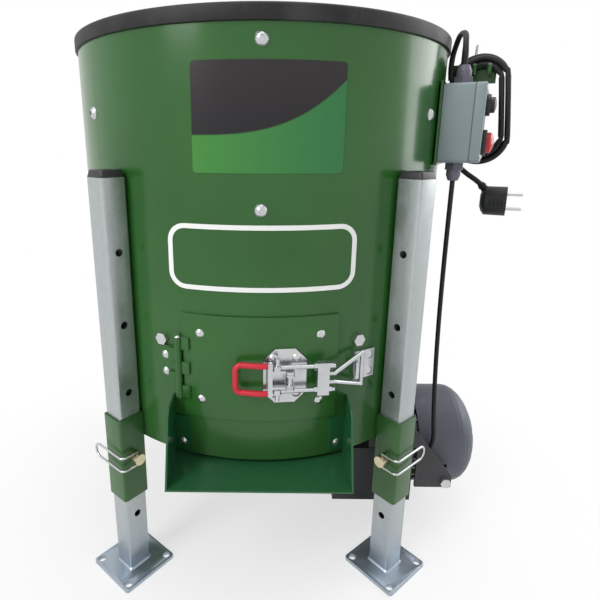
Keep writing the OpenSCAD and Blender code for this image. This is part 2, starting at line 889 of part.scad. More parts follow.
module pull_hook() {
    color("silver") latch_frame() translate([0, 0, run]) {
        for (side = [-1, 1]) {
            hook_eye(side);
            translate([0, side * rod_y, 0]) difference() {
                rod([pull_x + eye_d / 2 - rod_d / 4, 0, pull_z], [rod_end, 0, pull_z], rod_d);
                translate([pull_x, -rod_d, pull_z]) rotate([-90, 0, 0])
                    cylinder(d = pivot_d + 2 * run, h = 2 * rod_d);
            }
            for (x = [block_x - rod_nut_h, block_x + block_w])
                translate([x, side * rod_y, pull_z]) rotate([0, 90, 0]) hex(rod_nut_w, rod_nut_h);
        }
        translate([block_x, -rod_y - rod_d, pull_z - block_t / 2])
            cube([block_w, 2 * (rod_y + rod_d), block_t]);
        hook_loop();
    }
}

// Eye of a hook rod on the handle's outer pivot
module hook_eye(side) {
    low = side > 0 ? arm_y + arm_t + clear : -rod_y - rod_d / 2;
    width = rod_y + rod_d / 2 - arm_y - arm_t - clear;
    translate([pull_x, low, pull_z]) rotate([-90, 0, 0]) difference() {
        cylinder(d = eye_d, h = width);
        translate([0, 0, -over]) cylinder(d = pivot_d + 2 * run, h = width + 2 * over);
    }
}

// Triangular wire loop that goes over the catch
module hook_loop() {
    y = loop_h / 2 - loop_wire / 2;
    start = block_x + block_w / 2;
    wire([
        [start, loop_wire, pull_z], [start + block_w, loop_wire, pull_z], [loop_x, y, loop_z],
        [loop_x, -y, loop_z], [start + block_w, -loop_wire, pull_z], [start, -loop_wire, pull_z]
    ], loop_wire);
}

module catch_plate() {
    color("silver") difference() {
        union() {
            curved_sheet(catch_from, catch_to, drum_r, catch_t, latch_z - catch_h / 2, catch_h);
            translate([lip_x, bar_y - lip_over, latch_z - lip_h / 2])
                cube([lip_t, lip_over - bar_y - drum_r * cos(catch_to), lip_h]);
        }
        translate([0, 0, latch_z - catch_h]) cylinder(r = drum_r, h = 2 * catch_h, $fn = 180);
        wall_holes(catch_rivets(), rivet_d + 2 * run, drum_r + catch_t);
    }
}

function leaf_rivets() = [
    for (up = [0.36, 0.64]) [leaf_rivet_deg, hinge_z + hinge_h * up]
];
function catch_rivets() = [
    for (side = [-1, 1]) [catch_rivet_deg, latch_z + side * catch_rivet_y]
];
function chute_rivets() = [
    for (side = [-1, 1]) [side * chute_rivet_deg, chute_tab_z + chute_rivet_rise]
];
function body_rivet_places() = concat(leaf_rivets(), catch_rivets(), chute_rivets());

module body_rivets() {
    color("silver") {
        for (p = leaf_rivets()) on_wall(p[0], p[1], drum_r + leaf_t) rivet(leaf_t + drum_wall);
        for (p = catch_rivets()) on_wall(p[0], p[1], drum_r + catch_t) rivet(catch_t + drum_wall);
        for (p = chute_rivets()) on_wall(p[0], p[1], drum_r + chute_t) rivet(chute_t + drum_wall);
    }
}

// Side of the chute as seen from the right: forwards, and up
module chute_side() {
    top = chute_floor + chute_h;
    nose = chute_front - chute_lean;
    linear_extrude(height = chute_t) polygon([
        [chute_back, chute_floor - chute_t], [chute_front, chute_floor - chute_t],
        for (a = [0 : 15 : 90]) [nose + chute_nose * cos(a), top - chute_nose + chute_nose * sin(a)],
        [chute_back, top]
    ]);
}

module chute() {
    depth = chute_front - chute_back;
    color("green") difference() {
        union() {
            for (x = [-chute_w / 2, chute_w / 2 - chute_t])
                translate([x, 0, 0]) rotate([90, 0, -90]) mirror([0, 0, 1]) chute_side();
            translate([-chute_w / 2, -chute_front, chute_floor - chute_t]) cube([chute_w, depth, chute_t]);
            for (from = [-chute_deg, chute_deg - arc_deg(chute_tab_w)])
                curved_sheet(from, from + arc_deg(chute_tab_w), drum_r, chute_t, chute_tab_z, chute_tab_h);
        }
        translate([0, 0, stand_h]) cylinder(r = drum_r, h = drum_h, $fn = 180);
        wall_holes(chute_rivets(), rivet_d + 2 * run);
        translate([0, 0, chute_floor - 2 * chute_t]) cylinder(r = chute_back, h = drum_h, $fn = 180);
    }
}

// A child in leg i's own frame: x along the drum's wall, -y outwards
module on_leg(i) {
    rotate([0, 0, leg_angles[i]]) translate([0, -leg_r, 0]) children();
}

// A square tube standing on z
module square_tube(side, wall, z, h) {
    inner = side - 2 * wall;
    translate([0, 0, z]) difference() {
        translate([-side / 2, -side / 2, 0]) cube([side, side, h]);
        translate([-inner / 2, -inner / 2, -over]) cube([inner, inner, h + 2 * over]);
    }
}

// A hole or bar along the leg's x axis
module cross_bar(z, d, length) {
    translate([-length / 2, 0, z]) rotate([0, 90, 0]) cylinder(d = d, h = length);
}

module leg_sockets() {
    color("darkgreen") for (i = [0 : 3]) on_leg(i) difference() {
        square_tube(socket_side, socket_wall, socket_z, socket_h);
        cross_bar(pin_z, pin_d + 2 * run, socket_side + 2 * over);
    }
}

module leg(i) {
    color("lightsteelblue") on_leg(i) difference() {
        union() {
            square_tube(leg_side, leg_wall, foot_t, leg_top - foot_t);
            translate([-foot_side / 2, -foot_side / 2, 0]) cube([foot_side, foot_side, foot_t]);
        }
        for (k = [0 : hole_count - 1])
            cross_bar(first_hole + k * hole_pitch, leg_hole_d, leg_side + 2 * over);
        for (x = [-1, 1], y = [-1, 1]) translate([x * foot_pitch / 2, y * foot_pitch / 2, -over])
            cylinder(d = foot_hole_d, h = foot_t + 2 * over);
    }
}

module leg_front_left() { leg(0); }
module leg_front_right() { leg(1); }
module leg_rear_right() { leg(2); }
module leg_rear_left() { leg(3); }

module leg_caps() {
    inner = leg_side - 2 * leg_wall - 2 * run;
    color("black") for (i = [0 : 3]) on_leg(i) {
        translate([-leg_side / 2, -leg_side / 2, leg_top]) cube([leg_side, leg_side, cap_h]);
        translate([-inner / 2, -inner / 2, leg_top - cap_plug]) cube([inner, inner, cap_plug]);
    }
}

// Lock pin of leg i, with its head on the side that head_sides gives
module lock_pin(i) {
    s = socket_side / 2;
    color("gold") on_leg(i) scale_x(head_sides[i]) translate([0, 0, pin_z]) rotate([0, 90, 0]) difference() {
        union() {
            translate([0, 0, -s - pin_tip]) cylinder(d = pin_d, h = 2 * s + pin_tip + clear);
            translate([0, 0, -s - pin_tip]) rotate([180, 0, 0]) dome(pin_d, pin_d / 3);
            translate([0, 0, s + clear]) cylinder(d = head_d, h = head_len);
        }
        translate([-head_d, 0, bail_x]) rotate([0, 90, 0]) cylinder(d = bail_wire + 2 * run, h = 2 * head_d);
    }
}

// Mirror along x where the sign is negative
module scale_x(sign) {
    if (sign < 0) mirror([1, 0, 0]) children();
    else children();
}

module pin_front_left() { lock_pin(0); }
module pin_front_right() { lock_pin(1); }
module pin_rear_right() { lock_pin(2); }
module pin_rear_left() { lock_pin(3); }

// Wire bail of leg i: it turns in the pin's head and lies round the socket's outer face
module bail(i) {
    color("silver") on_leg(i) scale_x(head_sides[i]) translate([0, 0, pin_z]) {
        translate([bail_x, 0, -bail_y - bail_wire / 2]) cylinder(d = bail_wire, h = 2 * bail_y + bail_wire);
        tube([
            [bail_x, 0, bail_y],
            for (a = [0 : 30 : 90]) bail_corner(a, 1),
            [-bail_reach, -bail_out, bail_tip_y + bail_wire],
            [-bail_reach - bail_wire / 2, -bail_out, bail_tip_y],
            [-bail_reach - bail_wire / 2, -bail_out, -bail_tip_y],
            [-bail_reach, -bail_out, -bail_tip_y - bail_wire],
            for (a = [90 : -30 : 0]) bail_corner(a, -1),
            [bail_x, 0, -bail_y]
        ], bail_wire * tube_share, tube_sides, [1, 0, tan(180 / tube_sides)]);
    }
}

// A point of the bend between the pin's head and the socket's face, above or below the pin
function bail_corner(a, side) = [
    bail_x - bail_bend * (1 - cos(a)),
    bail_bend - bail_out - bail_bend * sin(a),
    side * bail_y
];

module bail_front_left() { bail(0); }
module bail_front_right() { bail(1); }
module bail_rear_right() { bail(2); }
module bail_rear_left() { bail(3); }

// The switch box's frame: x along the wall to the rear, y is the height, z outwards
module box_frame() {
    on_wall(box_deg) children();
}

// Bracket on the drum that carries the box, with a two-prong hook for the hank behind it
// The box's bracket with the cord hook, relieved where it passes the rim's trim
module box_bracket() {
    color("darkgreen") difference() {
        box_frame() bracket_plate();
        ring(drum_r + trim_t + clear, drum_in, drum_top + trim_t - trim_h - clear, trim_h + 2 * clear);
    }
}

module bracket_plate() {
    low = box_z - bracket_t;
    arm_x = hook_x - hook_t;
    difference() {
        translate([-box_w / 2, low, 0]) cube([box_w, box_h + 2 * bracket_t, bracket_t]);
        box_screws() cylinder(d = screw_d + 2 * run, h = bracket_t + 2 * over);
    }
    translate([box_w / 2, low, 0]) cube([hook_x - box_w / 2, strip_h, bracket_t]);
    translate([arm_x, low, 0]) cube([hook_t, hook_y + hook_h / 2 - low, 2 * hook_t]);
    translate([arm_x, hook_y - hook_h / 2, 0]) cube([hook_t, hook_h, hook_mid + hook_gap]);
    for (side = [-1, 1]) wire([
        [hook_x - hook_t / 2, hook_y, hook_mid + side * hook_gap / 2],
        [hook_tip_x, hook_y, hook_mid + side * hook_gap / 2],
        [hook_tip_x, hook_tip_y, hook_mid + side * hook_gap / 2]], prong_wire);
    for (side = [-1, 1]) wire([
        [hook_x - hook_t / 2, hook_y, tip_mid + side * tip_gap / 2],
        [hook_x - hook_t / 2, tip_y, tip_mid + side * tip_gap / 2]], tip_wire);
}

// The screws that hold the box on its bracket, from the bracket's back
module box_screws() {
    for (y = [-1, 1]) translate([0, box_mid + y * screw_gap / 2, -over]) children();
}

module switch_box() {
    depth = box_depth - lid_t;
    color("lightslategray") box_frame() difference() {
        translate([-box_w / 2, box_z, box_back]) cube([box_w, box_h, depth]);
        translate([box_wall - box_w / 2, box_z + box_wall, box_back + box_wall])
            cube([box_w - 2 * box_wall, box_h - 2 * box_wall, depth]);
        gland_hole(box_z + box_h, gland_x);
        gland_hole(box_z, motor_gland_x);
        box_screws() cylinder(d = screw_d + 2 * run, h = box_back + box_wall + 2 * over);
    }
}

// Hole for a gland through a wall of the box at a height
module gland_hole(y, x) {
    translate([x, y - 2 * box_wall, gland_out]) rotate([-90, 0, 0])
        cylinder(d = cord_d + 4 * run, h = 4 * box_wall);
}

module box_lid() {
    color("lightslategray") box_frame() difference() {
        translate([-box_w / 2, box_z, box_front - lid_t + run]) cube([box_w, box_h, lid_t]);
        translate([box_wall - box_w / 2, box_z + box_wall, box_front - lid_t - over])
            cube([box_w - 2 * box_wall, box_h - 2 * box_wall, lid_t + over - box_wall]);
        for (y = [start_y, stop_y]) translate([0, box_mid + y, box_front - 2 * box_wall])
            cylinder(d = stem_d + 2 * run, h = 4 * box_wall);
    }
}

module switch_block() {
    w = box_w * 0.5;
    h = screw_gap - 2 * screw_head_d;
    color("black") box_frame() translate([-w / 2, box_mid - h / 2, box_back + box_wall])
        cube([w, h, block_depth]);
}

// Push button at a height on the lid: a stem with a collar inside and a cap outside
module push_button(y, d, bulge) {
    inner = box_front - box_wall;
    gap = button_travel + clear;
    box_frame() translate([0, box_mid + y, 0]) {
        translate([0, 0, inner - gap - button_head])
            cylinder(d = stem_d, h = box_wall + 2 * gap + button_head);
        translate([0, 0, inner - clear - button_head]) cylinder(d = stem_d * 1.5, h = button_head);
        translate([0, 0, box_front + gap]) cylinder(d = d, h = cap_t);
        translate([0, 0, box_front + gap + cap_t]) dome(d, bulge);
    }
}

module start_button() { color("black") push_button(start_y, start_d, start_d / 9); }
module stop_button() { color("red") push_button(stop_y, stop_d, stop_d / 6); }

// Cable gland standing on a face at height y, upwards or downwards
module gland(x, y, up) {
    box_frame() translate([x, y, gland_out]) rotate([up > 0 ? -90 : 90, 0, 0]) difference() {
        union() {
            hex(gland_hex, gland_h * 0.4);
            cylinder(d = gland_d, h = gland_h * 0.7);
            translate([0, 0, gland_h * 0.7]) cylinder(d1 = gland_d, d2 = gland_d * 0.7, h = gland_h * 0.3);
        }
        translate([0, 0, -over]) cylinder(d = cord_d + 4 * run, h = gland_h + 2 * over);
    }
}

module cable_glands() {
    color("slategray") {
        gland(gland_x, box_z + box_h, 1);
        gland(motor_gland_x, box_z, -1);
    }
}

// Radius of the hank's turn and its layer, t turns from its start
function hank_r(t) = hank_outer - hank_pitch * min(t, hank_turns - t);
function hank_layer(t) = min(1, max(0, (t - hank_turns / 2 + 0.25) * 2)) * hank_pitch;

// A point of the hank: outwards and up about its middle, before it leans
function hank_flat(t, a) = [
    hank_r(t) * cos(a),
    hank_r(t) * sin(a) + sign(sin(a)) * hank_run / 2
];
function hank_point(t, flat) = [
    hank_x + hank_layer(t),
    hank_y + flat[1] * cos(hank_lean) + flat[0] * sin(hank_lean),
    hank_out + flat[0] * cos(hank_lean) - flat[1] * sin(hank_lean)
];
hank_from_deg = 180;
hank_steps = hank_turns * loop_rings;
hank_top = hank_run / 2;
hank_route = [
    hank_point(0, [-hank_r(0), hank_top + cord_d]),
    hank_point(0, [-hank_r(0), hank_top]),
    for (k = [0 : hank_steps - 1])
        let (t = (k + 0.5) / loop_rings) hank_point(t, hank_flat(t, hank_from_deg + 360 * t)),
    hank_point(hank_turns, [-hank_r(0), hank_top]),
    hank_point(hank_turns, [-hank_r(0), -hank_top]),
    hank_point(hank_turns, [-hank_r(0), -hank_top - cord_d])
];

// Least gap between turns of the hank, measured between a point and the stretches of other turns
function near(p, a, b) =
    let (v = b - a, s = max(0, min(1, (p - a) * v / (v * v)))) norm(p - a - s * v);
hank_gap = min([
    for (i = [0 : len(hank_route) - 1], j = [i + loop_rings / 2 : 1 : len(hank_route) - 2])
        near(hank_route[i], hank_route[j], hank_route[j + 1])
]) - cord_d;
echo(hank_gap = hank_gap);

module cord_hank() { color("black") box_frame() tube(hank_route, cord_d, ring_sides, [1, 0, 0]); }

// The lead runs from the upper gland into the hank's start, and the tail leaves its end
gland_top = [gland_x, box_z + box_h, gland_out];
hank_start = hank_route[0];
hank_end = hank_route[len(hank_route) - 1];
lead_points = concat(
    [for (p = lead_rise) gland_top + p],
    [for (p = lead_fall) hank_start + p],
    [2 * hank_start - hank_route[1], hank_start]
);
module cord_lead() { color("black") box_frame() tube(lead_points, cord_d, tube_sides, [1, 0, 0]); }

tail_points = concat([hank_end], [for (p = tail_fall) hank_end + p]);
module cord_tail() { color("black") box_frame() tube(tail_points, cord_d, tube_sides, [1, 0, 0]); }

module motor_cable() { color("black") tube(cable_route, cable_d, tube_sides, [1, 0, 0]); }

// Angled plug at the tail's end, with two round pins
module plug() {
    at = hank_end + plug_step;
    color("black") box_frame() {
        translate(at) {
            cylinder(d = plug_d, h = plug_len);
            rotate([180, 0, 0]) dome(plug_d, plug_d / 6);
            for (side = [-1, 1]) translate([0, side * pin_gap / 2, 0]) {
                cylinder(d = prong_d, h = plug_len + prong_len - prong_d / 2);
                translate([0, 0, plug_len + prong_len - prong_d / 2]) dome(prong_d, prong_d / 3);
            }
        }
        rod(tail_points[len(tail_points) - 1], at + [0, 0, plug_len / 2], sleeve_d);
    }
}

// A child turned so that its z axis is the motor's axis, from the drum's axis to the right
module on_motor() {
    translate([0, -worm_gap, axis_z]) rotate([0, 90, 0]) children();
}

// The four bolts of the gearbox pad, under the drum's floor plate
module pad_bolts() {
    for (x = [-1, 1], y = [-1, 1])
        translate([x * pad_side * 0.4, y * pad_side * 0.4, pad_top - pad_t]) children();
}

module gearbox_housing() {
    color("dimgray") difference() {
        union() {
            translate([0, 0, case_low]) cylinder(r = case_r, h = case_high - case_low);
            translate([-case_half, -worm_gap - worm_case - case_wall, axis_z - worm_case - case_wall])
                cube([2 * case_half, worm_gap + worm_case + case_wall, 2 * (worm_case + case_wall)]);
            translate([0, 0, case_low]) cylinder(d = neck_d, h = pad_top - case_low);
            translate([-pad_side / 2, -pad_side / 2, pad_top - pad_t]) cube([pad_side, pad_side, pad_t]);
            on_motor() translate([0, 0, case_half - motor_flange_t])
                cylinder(r = motor_d / 2 - case_gap, h = motor_flange_t);
        }
        translate([0, 0, case_low - over])
            cylinder(r = wheel_case, h = axis_z + wheel_w / 2 + case_gap - case_low + over);
        cylinder(d = shaft_d + case_gap, h = pad_top + over);
        translate([0, 0, case_high - bearing_w]) cylinder(d = bearing_d, h = bearing_w + pad_top);
        on_motor() translate([0, 0, -case_half + case_wall]) cylinder(r = worm_case, h = 2 * case_half);
        pad_bolts() translate([0, 0, -over]) cylinder(d = bolt_d + 2 * run, h = pad_t + 2 * over);
        on_motor() flange_bolts() translate([0, 0, -over])
            cylinder(d = bolt_d + 2 * run, h = motor_flange_t + 2 * over);
    }
}

module gearbox_cover() {
    color("dimgray") difference() {
        union() {
            translate([0, 0, case_low - cover_t]) cylinder(r = cover_r, h = cover_t);
            translate([0, 0, case_low]) cylinder(d = bearing_d + case_wall, h = bearing_w);
        }
        translate([0, 0, case_low]) cylinder(d = bearing_d, h = bearing_w + over);
    }
}

// A plain bearing ring between a seat and a shaft
module bearing(d_out, d_in, w) {
    difference() {
        cylinder(d = d_out - 2 * run, h = w);
        translate([0, 0, -over]) cylinder(d = d_in + 2 * run, h = w + 2 * over);
    }
}

module drive_bearings() {
    color("silver") {
        translate([0, 0, case_low + run]) bearing(bearing_d, shaft_d, bearing_w - 2 * run);
        translate([0, 0, case_high - bearing_w + run]) bearing(bearing_d, shaft_d, bearing_w - 2 * run);
        on_motor() {
            translate([0, 0, -case_half + case_wall]) bearing(2 * worm_case, worm_shaft_d, worm_bearing_w);
            translate([0, 0, case_half - worm_bearing_w])
                bearing(2 * worm_case, worm_shaft_d, worm_bearing_w);
            translate([0, 0, motor_end - motor_wall - worm_bearing_w])
                bearing(2 * motor_body - 2 * motor_wall, worm_shaft_d, worm_bearing_w);
        }
    }
}

// Toothed outline about the z axis: widths are shares of the tooth's own angle
module toothed(teeth, r, tip, root) {
    step = 360 / teeth;
    root_share = 0.30;
    flank_share = 0.20;
    tip_share = 0.11;
    polygon([
        for (i = [0 : teeth - 1]) each [
            for (s = [[-root_share, r - root], [-flank_share, r], [-tip_share, r + tip],
                [tip_share, r + tip], [flank_share, r], [root_share, r - root]])
                s[1] * [cos((i + s[0]) * step), sin((i + s[0]) * step)]
        ]
    ]);
}

module worm_wheel() {
    turn = wheel_w * tan(wheel_twist) / wheel_r * 180 / PI;
    color("goldenrod") difference() {
        translate([0, 0, axis_z]) rotate([0, 0, -90 + 180 / wheel_teeth])
            linear_extrude(height = wheel_w, center = true, twist = -turn, slices = 6)
                toothed(wheel_teeth, wheel_r, tooth_tip, tooth_root);
        translate([0, 0, axis_z - wheel_w]) cylinder(d = shaft_d + 2 * run, h = 2 * wheel_w);
    }
}

module output_shaft() {
    top = disc_z + disc_hub_h + nut_cap_h;
    color("silver") {
        translate([0, 0, case_low + run]) cylinder(d = shaft_d, h = top - case_low - nut_cap_h / 2);
        translate([0, 0, disc_z + disc_hub_h + run]) {
            hex(nut_cap_d, nut_cap_h * 0.7);
            translate([0, 0, nut_cap_h * 0.7]) dome(nut_cap_d * 0.9, nut_cap_h * 0.6);
        }
    }
}

module shaft_seal() {
    color("black") translate([0, 0, floor_top - seal_h]) bearing(seal_d, shaft_d, seal_h + disc_lift / 3);
}

module motor_rotor() {
    color("silver") on_motor() {
        rotate([0, 0, 90]) linear_extrude(height = worm_len, center = true,
            twist = -360 * worm_len / worm_lead, slices = 40, $fn = 24)
                toothed(worm_starts, worm_r, tooth_tip, tooth_root);
        translate([0, 0, case_wall - case_half])
            cylinder(d = worm_shaft_d, h = motor_end + cowl_skirt + case_half - case_wall);
        translate([0, 0, rotor_from]) cylinder(r = rotor_body_r, h = rotor_to - rotor_from);
    }
}

// Ear on the motor's rear end, where the stay is bolted, in the motor's own frame
module motor_ear() {
    translate([axis_z - stay_lug_z, worm_gap - stay_y + stay_t, stay_lug_x]) rotate([-90, 0, 0])
        cylinder(d = ear_d, h = stay_y - stay_t - worm_gap - rotor_body_r);
}

module motor_housing() {
    length = motor_end - motor_start;
    color("dimgray") {
        on_motor() difference() {
            union() {
                translate([0, 0, motor_start]) cylinder(r = motor_body, h = length);
                translate([0, 0, case_half + run]) cylinder(d = motor_d, h = motor_flange_t);
                for (i = [0 : fin_count - 1]) rotate([0, 0, i * 360 / fin_count])
                    translate([motor_body - over, -fin_t / 2, motor_start + 3 * motor_flange_t])
                        cube([fin_h + over, fin_t, length - 3 * motor_flange_t]);
                motor_ear();
            }
            translate([0, 0, motor_start + motor_flange_t])
                cylinder(r = motor_body - motor_wall, h = length);
            translate([0, 0, case_half - over]) cylinder(d = worm_shaft_d + case_gap, h = length);
            flange_bolts() cylinder(d = bolt_d + 2 * run, h = 2 * motor_flange_t + run);
            ear_hole() cylinder(d = bolt_d + 2 * run, h = ear_len / 2 + over);
        }
    }
}

// Hole of the ear, in the motor's own frame
module ear_hole() {
    translate([axis_z - stay_lug_z, worm_gap - stay_y + stay_t - over, stay_lug_x])
        rotate([-90, 0, 0]) children();
}

module stator_core() {
    color("gray") on_motor() translate([0, 0, rotor_from]) difference() {
        cylinder(r = motor_body - motor_wall - run, h = rotor_to - rotor_from);
        translate([0, 0, -over]) cylinder(r = rotor_body_r + clear, h = rotor_to - rotor_from + 2 * over);
    }
}

// Slanted stay from the drum's lower flange to the ear on the motor's rear end
module motor_stay() {
    top = stand_h;
    low = stay_lug_z - stay_lug_r;
    color("lightslategray") difference() {
        union() {
            translate([0, stay_t - stay_y, 0]) rotate([90, 0, 0]) linear_extrude(height = stay_t) polygon([
                [stay_from, top], [stay_to, top], [stay_lug_x + stay_lug_r, stay_lug_z + stay_lug_r],
                [stay_lug_x + stay_lug_r, low], [stay_knee, low],
                [stay_knee, stay_step], [stay_from, stay_step]
            ]);
            translate([stay_from, -stay_y, top - stay_t]) cube([stay_to - stay_from, stay_tab, stay_t]);
        }
        stay_bolt() translate([0, 0, -over]) cylinder(d = bolt_d + 2 * run, h = 2 * stay_t);
        lug_bolt() translate([0, 0, -over]) cylinder(d = bolt_d + 2 * run, h = 2 * stay_t);
    }
}

// Places of the stay's bolts: one under the drum's flange, one on the motor's ear
module stay_bolt() {
    translate([stay_bolt_x, stay_tab * 0.55 - stay_y, stand_h - stay_t]) children();
}

module lug_bolt() {
    translate([stay_lug_x, -stay_y, stay_lug_z]) rotate([-90, 0, 0]) children();
}

// A hex bolt with its head below its seat and its shank going up
module hex_bolt(length) {
    translate([0, 0, -nut_h * 0.8]) hex(nut_w, nut_h * 0.8);
    cylinder(d = bolt_d, h = length);
}

// Places of the motor flange's bolts, on the gearbox's side, in the motor's own frame
module flange_bolts() {
    for (a = flange_bolt_angles) rotate([0, 0, a])
        translate([flange_bolt_r, 0, case_half - motor_flange_t]) children();
}

module drive_bolts() {
    color("silver") {
        pad_bolts() {
            translate([0, 0, -run]) hex_bolt(pad_t + floor_t + nut_h + 2 * run);
            translate([0, 0, pad_t + floor_t + run]) difference() {
                hex(nut_w, nut_h);
                cylinder(d = bolt_d + 2 * run, h = nut_h + over);
            }
        }
        on_motor() flange_bolts() translate([0, 0, -run]) hex_bolt(2 * motor_flange_t);
        stay_bolt() translate([0, 0, -run]) hex_bolt(stay_t + drum_wall);
        lug_bolt() translate([0, 0, -run]) hex_bolt(stay_t + ear_len / 2);
    }
}

module motor_fan() {
    bore = worm_shaft_d / 2 + run;
    hub = fan_hub_d / 2;
    color("dimgray") on_motor() translate([0, 0, motor_end + fan_lift]) {
        rotate_extrude() polygon([
            [bore, 0], [fan_r, 0], [fan_r, fan_t], [hub, fan_t], [hub, blade_len], [bore, blade_len]
        ]);
        for (i = [0 : blade_count - 1]) rotate([0, 0, i * 360 / blade_count])
            translate([hub - blade_t, -blade_t / 2, fan_t / 2])
                cube([fan_r - hub, blade_t, blade_len - fan_t]);
    }
}

// Outline of the fan cowl's dome: a quarter ellipse from its skirt to its middle
function cowl_outline(r, depth) = [
    for (a = [0 : 10 : 90]) [r * cos(a), depth * sin(a)]
];

module fan_cowl() {
    skirt = cowl_skirt + cowl_over;
    color("gray") on_motor() difference() {
        translate([0, 0, motor_end + cowl_skirt]) rotate_extrude($fn = 96) difference() {
            polygon(concat([[0, -skirt], [cowl_r, -skirt]], cowl_outline(cowl_r, cowl_len - cowl_skirt)));
            polygon(concat([[0, -skirt - over], [cowl_r - cowl_t, -skirt - over]],
                cowl_outline(cowl_r - cowl_t, cowl_len - cowl_skirt - cowl_t)));
        }
        for (i = [0 : vent_count - 1]) rotate([0, 0, i * 360 / vent_count])
            translate([cowl_r * 0.3, -cowl_t, motor_end + cowl_skirt])
                cube([cowl_r * 0.4, 2 * cowl_t, cowl_len]);
        ear_slot();
    }
}

// Slot in the cowl's skirt for the motor's ear, in the motor's own frame
module ear_slot() {
    w = ear_d + 4 * clear;
    from = motor_end - cowl_over - over;
    translate([axis_z - stay_lug_z - w / 2, -cowl_r - over, from])
        cube([w, cowl_r, stay_lug_x + w / 2 - from]);
}

module terminal_box() {
    color("black") difference() {
        translate([term_from, -term_front, term_low])
            cube([term_to - term_from, term_front - worm_gap, term_high - term_low]);
        translate([term_from + term_wall, -term_front + term_lid_t, term_low + term_wall])
            cube([term_to - term_from - 2 * term_wall, term_front, term_high - term_low - 2 * term_wall]);
        on_motor() cylinder(d = motor_d + 2 * run, h = motor_end);
    }
}

module huller_disc() {
    color("gray") difference() {
        union() {
            translate([0, 0, disc_z]) cylinder(r = disc_r, h = disc_t, $fn = 180);
            translate([0, 0, disc_z]) cylinder(d = disc_hub_d, h = disc_hub_h);
            for (i = [0 : rib_count - 1]) rotate([0, 0, i * 360 / rib_count])
                translate([rib_from, -rib_w / 2, disc_z])
                    cube([disc_r - rib_from - rib_h, rib_w, disc_t + rib_h]);
        }
        translate([0, 0, disc_z - over]) cylinder(d = shaft_d + 2 * run, h = disc_hub_h + 2 * over);
    }
}

drum_shell();
rim_trim();
drum_floor();
wall_liner();
wall_bolts();
wall_nuts();
door_frame();
hinge_leaf();
hinge_pin();
door_panel();
door_plug();
door_rivets();
latch_base();
latch_handle();
latch_grip();
pull_hook();
catch_plate();
body_rivets();
chute();
leg_sockets();
leg_front_left();
leg_front_right();
leg_rear_right();
leg_rear_left();
leg_caps();
pin_front_left();
pin_front_right();
pin_rear_right();
pin_rear_left();
bail_front_left();
bail_front_right();
bail_rear_right();
bail_rear_left();
box_bracket();
switch_box();
box_lid();
switch_block();
start_button();
stop_button();
cable_glands();
cord_lead();
cord_hank();
cord_tail();
plug();
gearbox_housing();
gearbox_cover();
drive_bearings();
worm_wheel();
output_shaft();
shaft_seal();
motor_rotor();
motor_housing();
stator_core();
motor_fan();
fan_cowl();
terminal_box();
motor_cable();
motor_stay();
drive_bolts();
huller_disc();
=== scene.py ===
"""Walnut huller: finishes, decals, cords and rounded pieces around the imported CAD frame."""
import math
from functools import cached_property

import bmesh
import bpy
from mathutils import Matrix, Vector


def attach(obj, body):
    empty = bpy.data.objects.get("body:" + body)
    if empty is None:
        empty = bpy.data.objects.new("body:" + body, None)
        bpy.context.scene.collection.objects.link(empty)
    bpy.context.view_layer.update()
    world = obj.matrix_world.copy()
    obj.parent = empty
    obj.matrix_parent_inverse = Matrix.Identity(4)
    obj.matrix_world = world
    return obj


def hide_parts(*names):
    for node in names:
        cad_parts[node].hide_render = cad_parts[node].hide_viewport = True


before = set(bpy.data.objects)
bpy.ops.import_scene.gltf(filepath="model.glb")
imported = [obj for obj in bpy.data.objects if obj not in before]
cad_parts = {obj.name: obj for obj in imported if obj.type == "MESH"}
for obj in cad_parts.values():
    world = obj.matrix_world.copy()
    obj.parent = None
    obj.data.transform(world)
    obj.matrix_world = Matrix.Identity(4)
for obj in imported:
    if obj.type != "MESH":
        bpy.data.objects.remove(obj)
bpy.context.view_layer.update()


# Driving sizes, in millimetres and degrees, as in the CAD source

MM = 0.001
CLEAR = 0.4
DRUM_R = 245
DRUM_WALL = 2
DRUM_LOW = 190
DRUM_TOP = 668
DOOR_RISE = 52
DOOR_H = 124
DOOR_T = 2
LATCH_OFF = 27
LATCH_SHARE = 0.46
LEG_DEG = 40
LEG_SIDE = 30
SOCKET_WALL = 2
SOCKET_PLAY = 0.5
SOCKET_SIDE = LEG_SIDE + 2 * (SOCKET_PLAY + SOCKET_WALL)
BOX_DEG = 65
BOX_RISE = 335
BOX_W = 70
BOX_H = 90
BOX_DEPTH = 46
BOX_LOW = DRUM_LOW + BOX_RISE
BOX_TOP = BOX_LOW + BOX_H
BRACKET_T = 3
BOX_BACK = BRACKET_T + CLEAR

# Edges of the upper label, across the drum's front and up from the ground
LABEL_LEFT = -69
LABEL_RIGHT = 83
LABEL_LOW = 517
LABEL_HIGH = 622


# Frames that the CAD source places its pieces in

LEG_R = DRUM_R + SOCKET_SIDE / 2
LEG_ANGLES = {
    "front_left": -LEG_DEG,
    "front_right": LEG_DEG,
    "rear_right": 180 - LEG_DEG,
    "rear_left": LEG_DEG - 180,
}


def mm(*lengths):
    """A point or size given in millimetres."""
    return Vector([length * MM for length in lengths])


def shift(*lengths):
    """A move given in millimetres."""
    return Matrix.Translation(mm(*lengths))


def rotation(degrees, axis="Z"):
    return Matrix.Rotation(math.radians(degrees), 4, axis)


def on_wall(degrees, height=0.0, radius=DRUM_R):
    """A frame on the drum's wall: x to the right, y up, z outwards."""
    return rotation(degrees) @ shift(0, -radius, height) @ rotation(90, "X")


def on_leg(corner):
    """A leg's own frame: x along the drum's wall, -y outwards."""
    return rotation(LEG_ANGLES[corner]) @ shift(0, -LEG_R, 0)


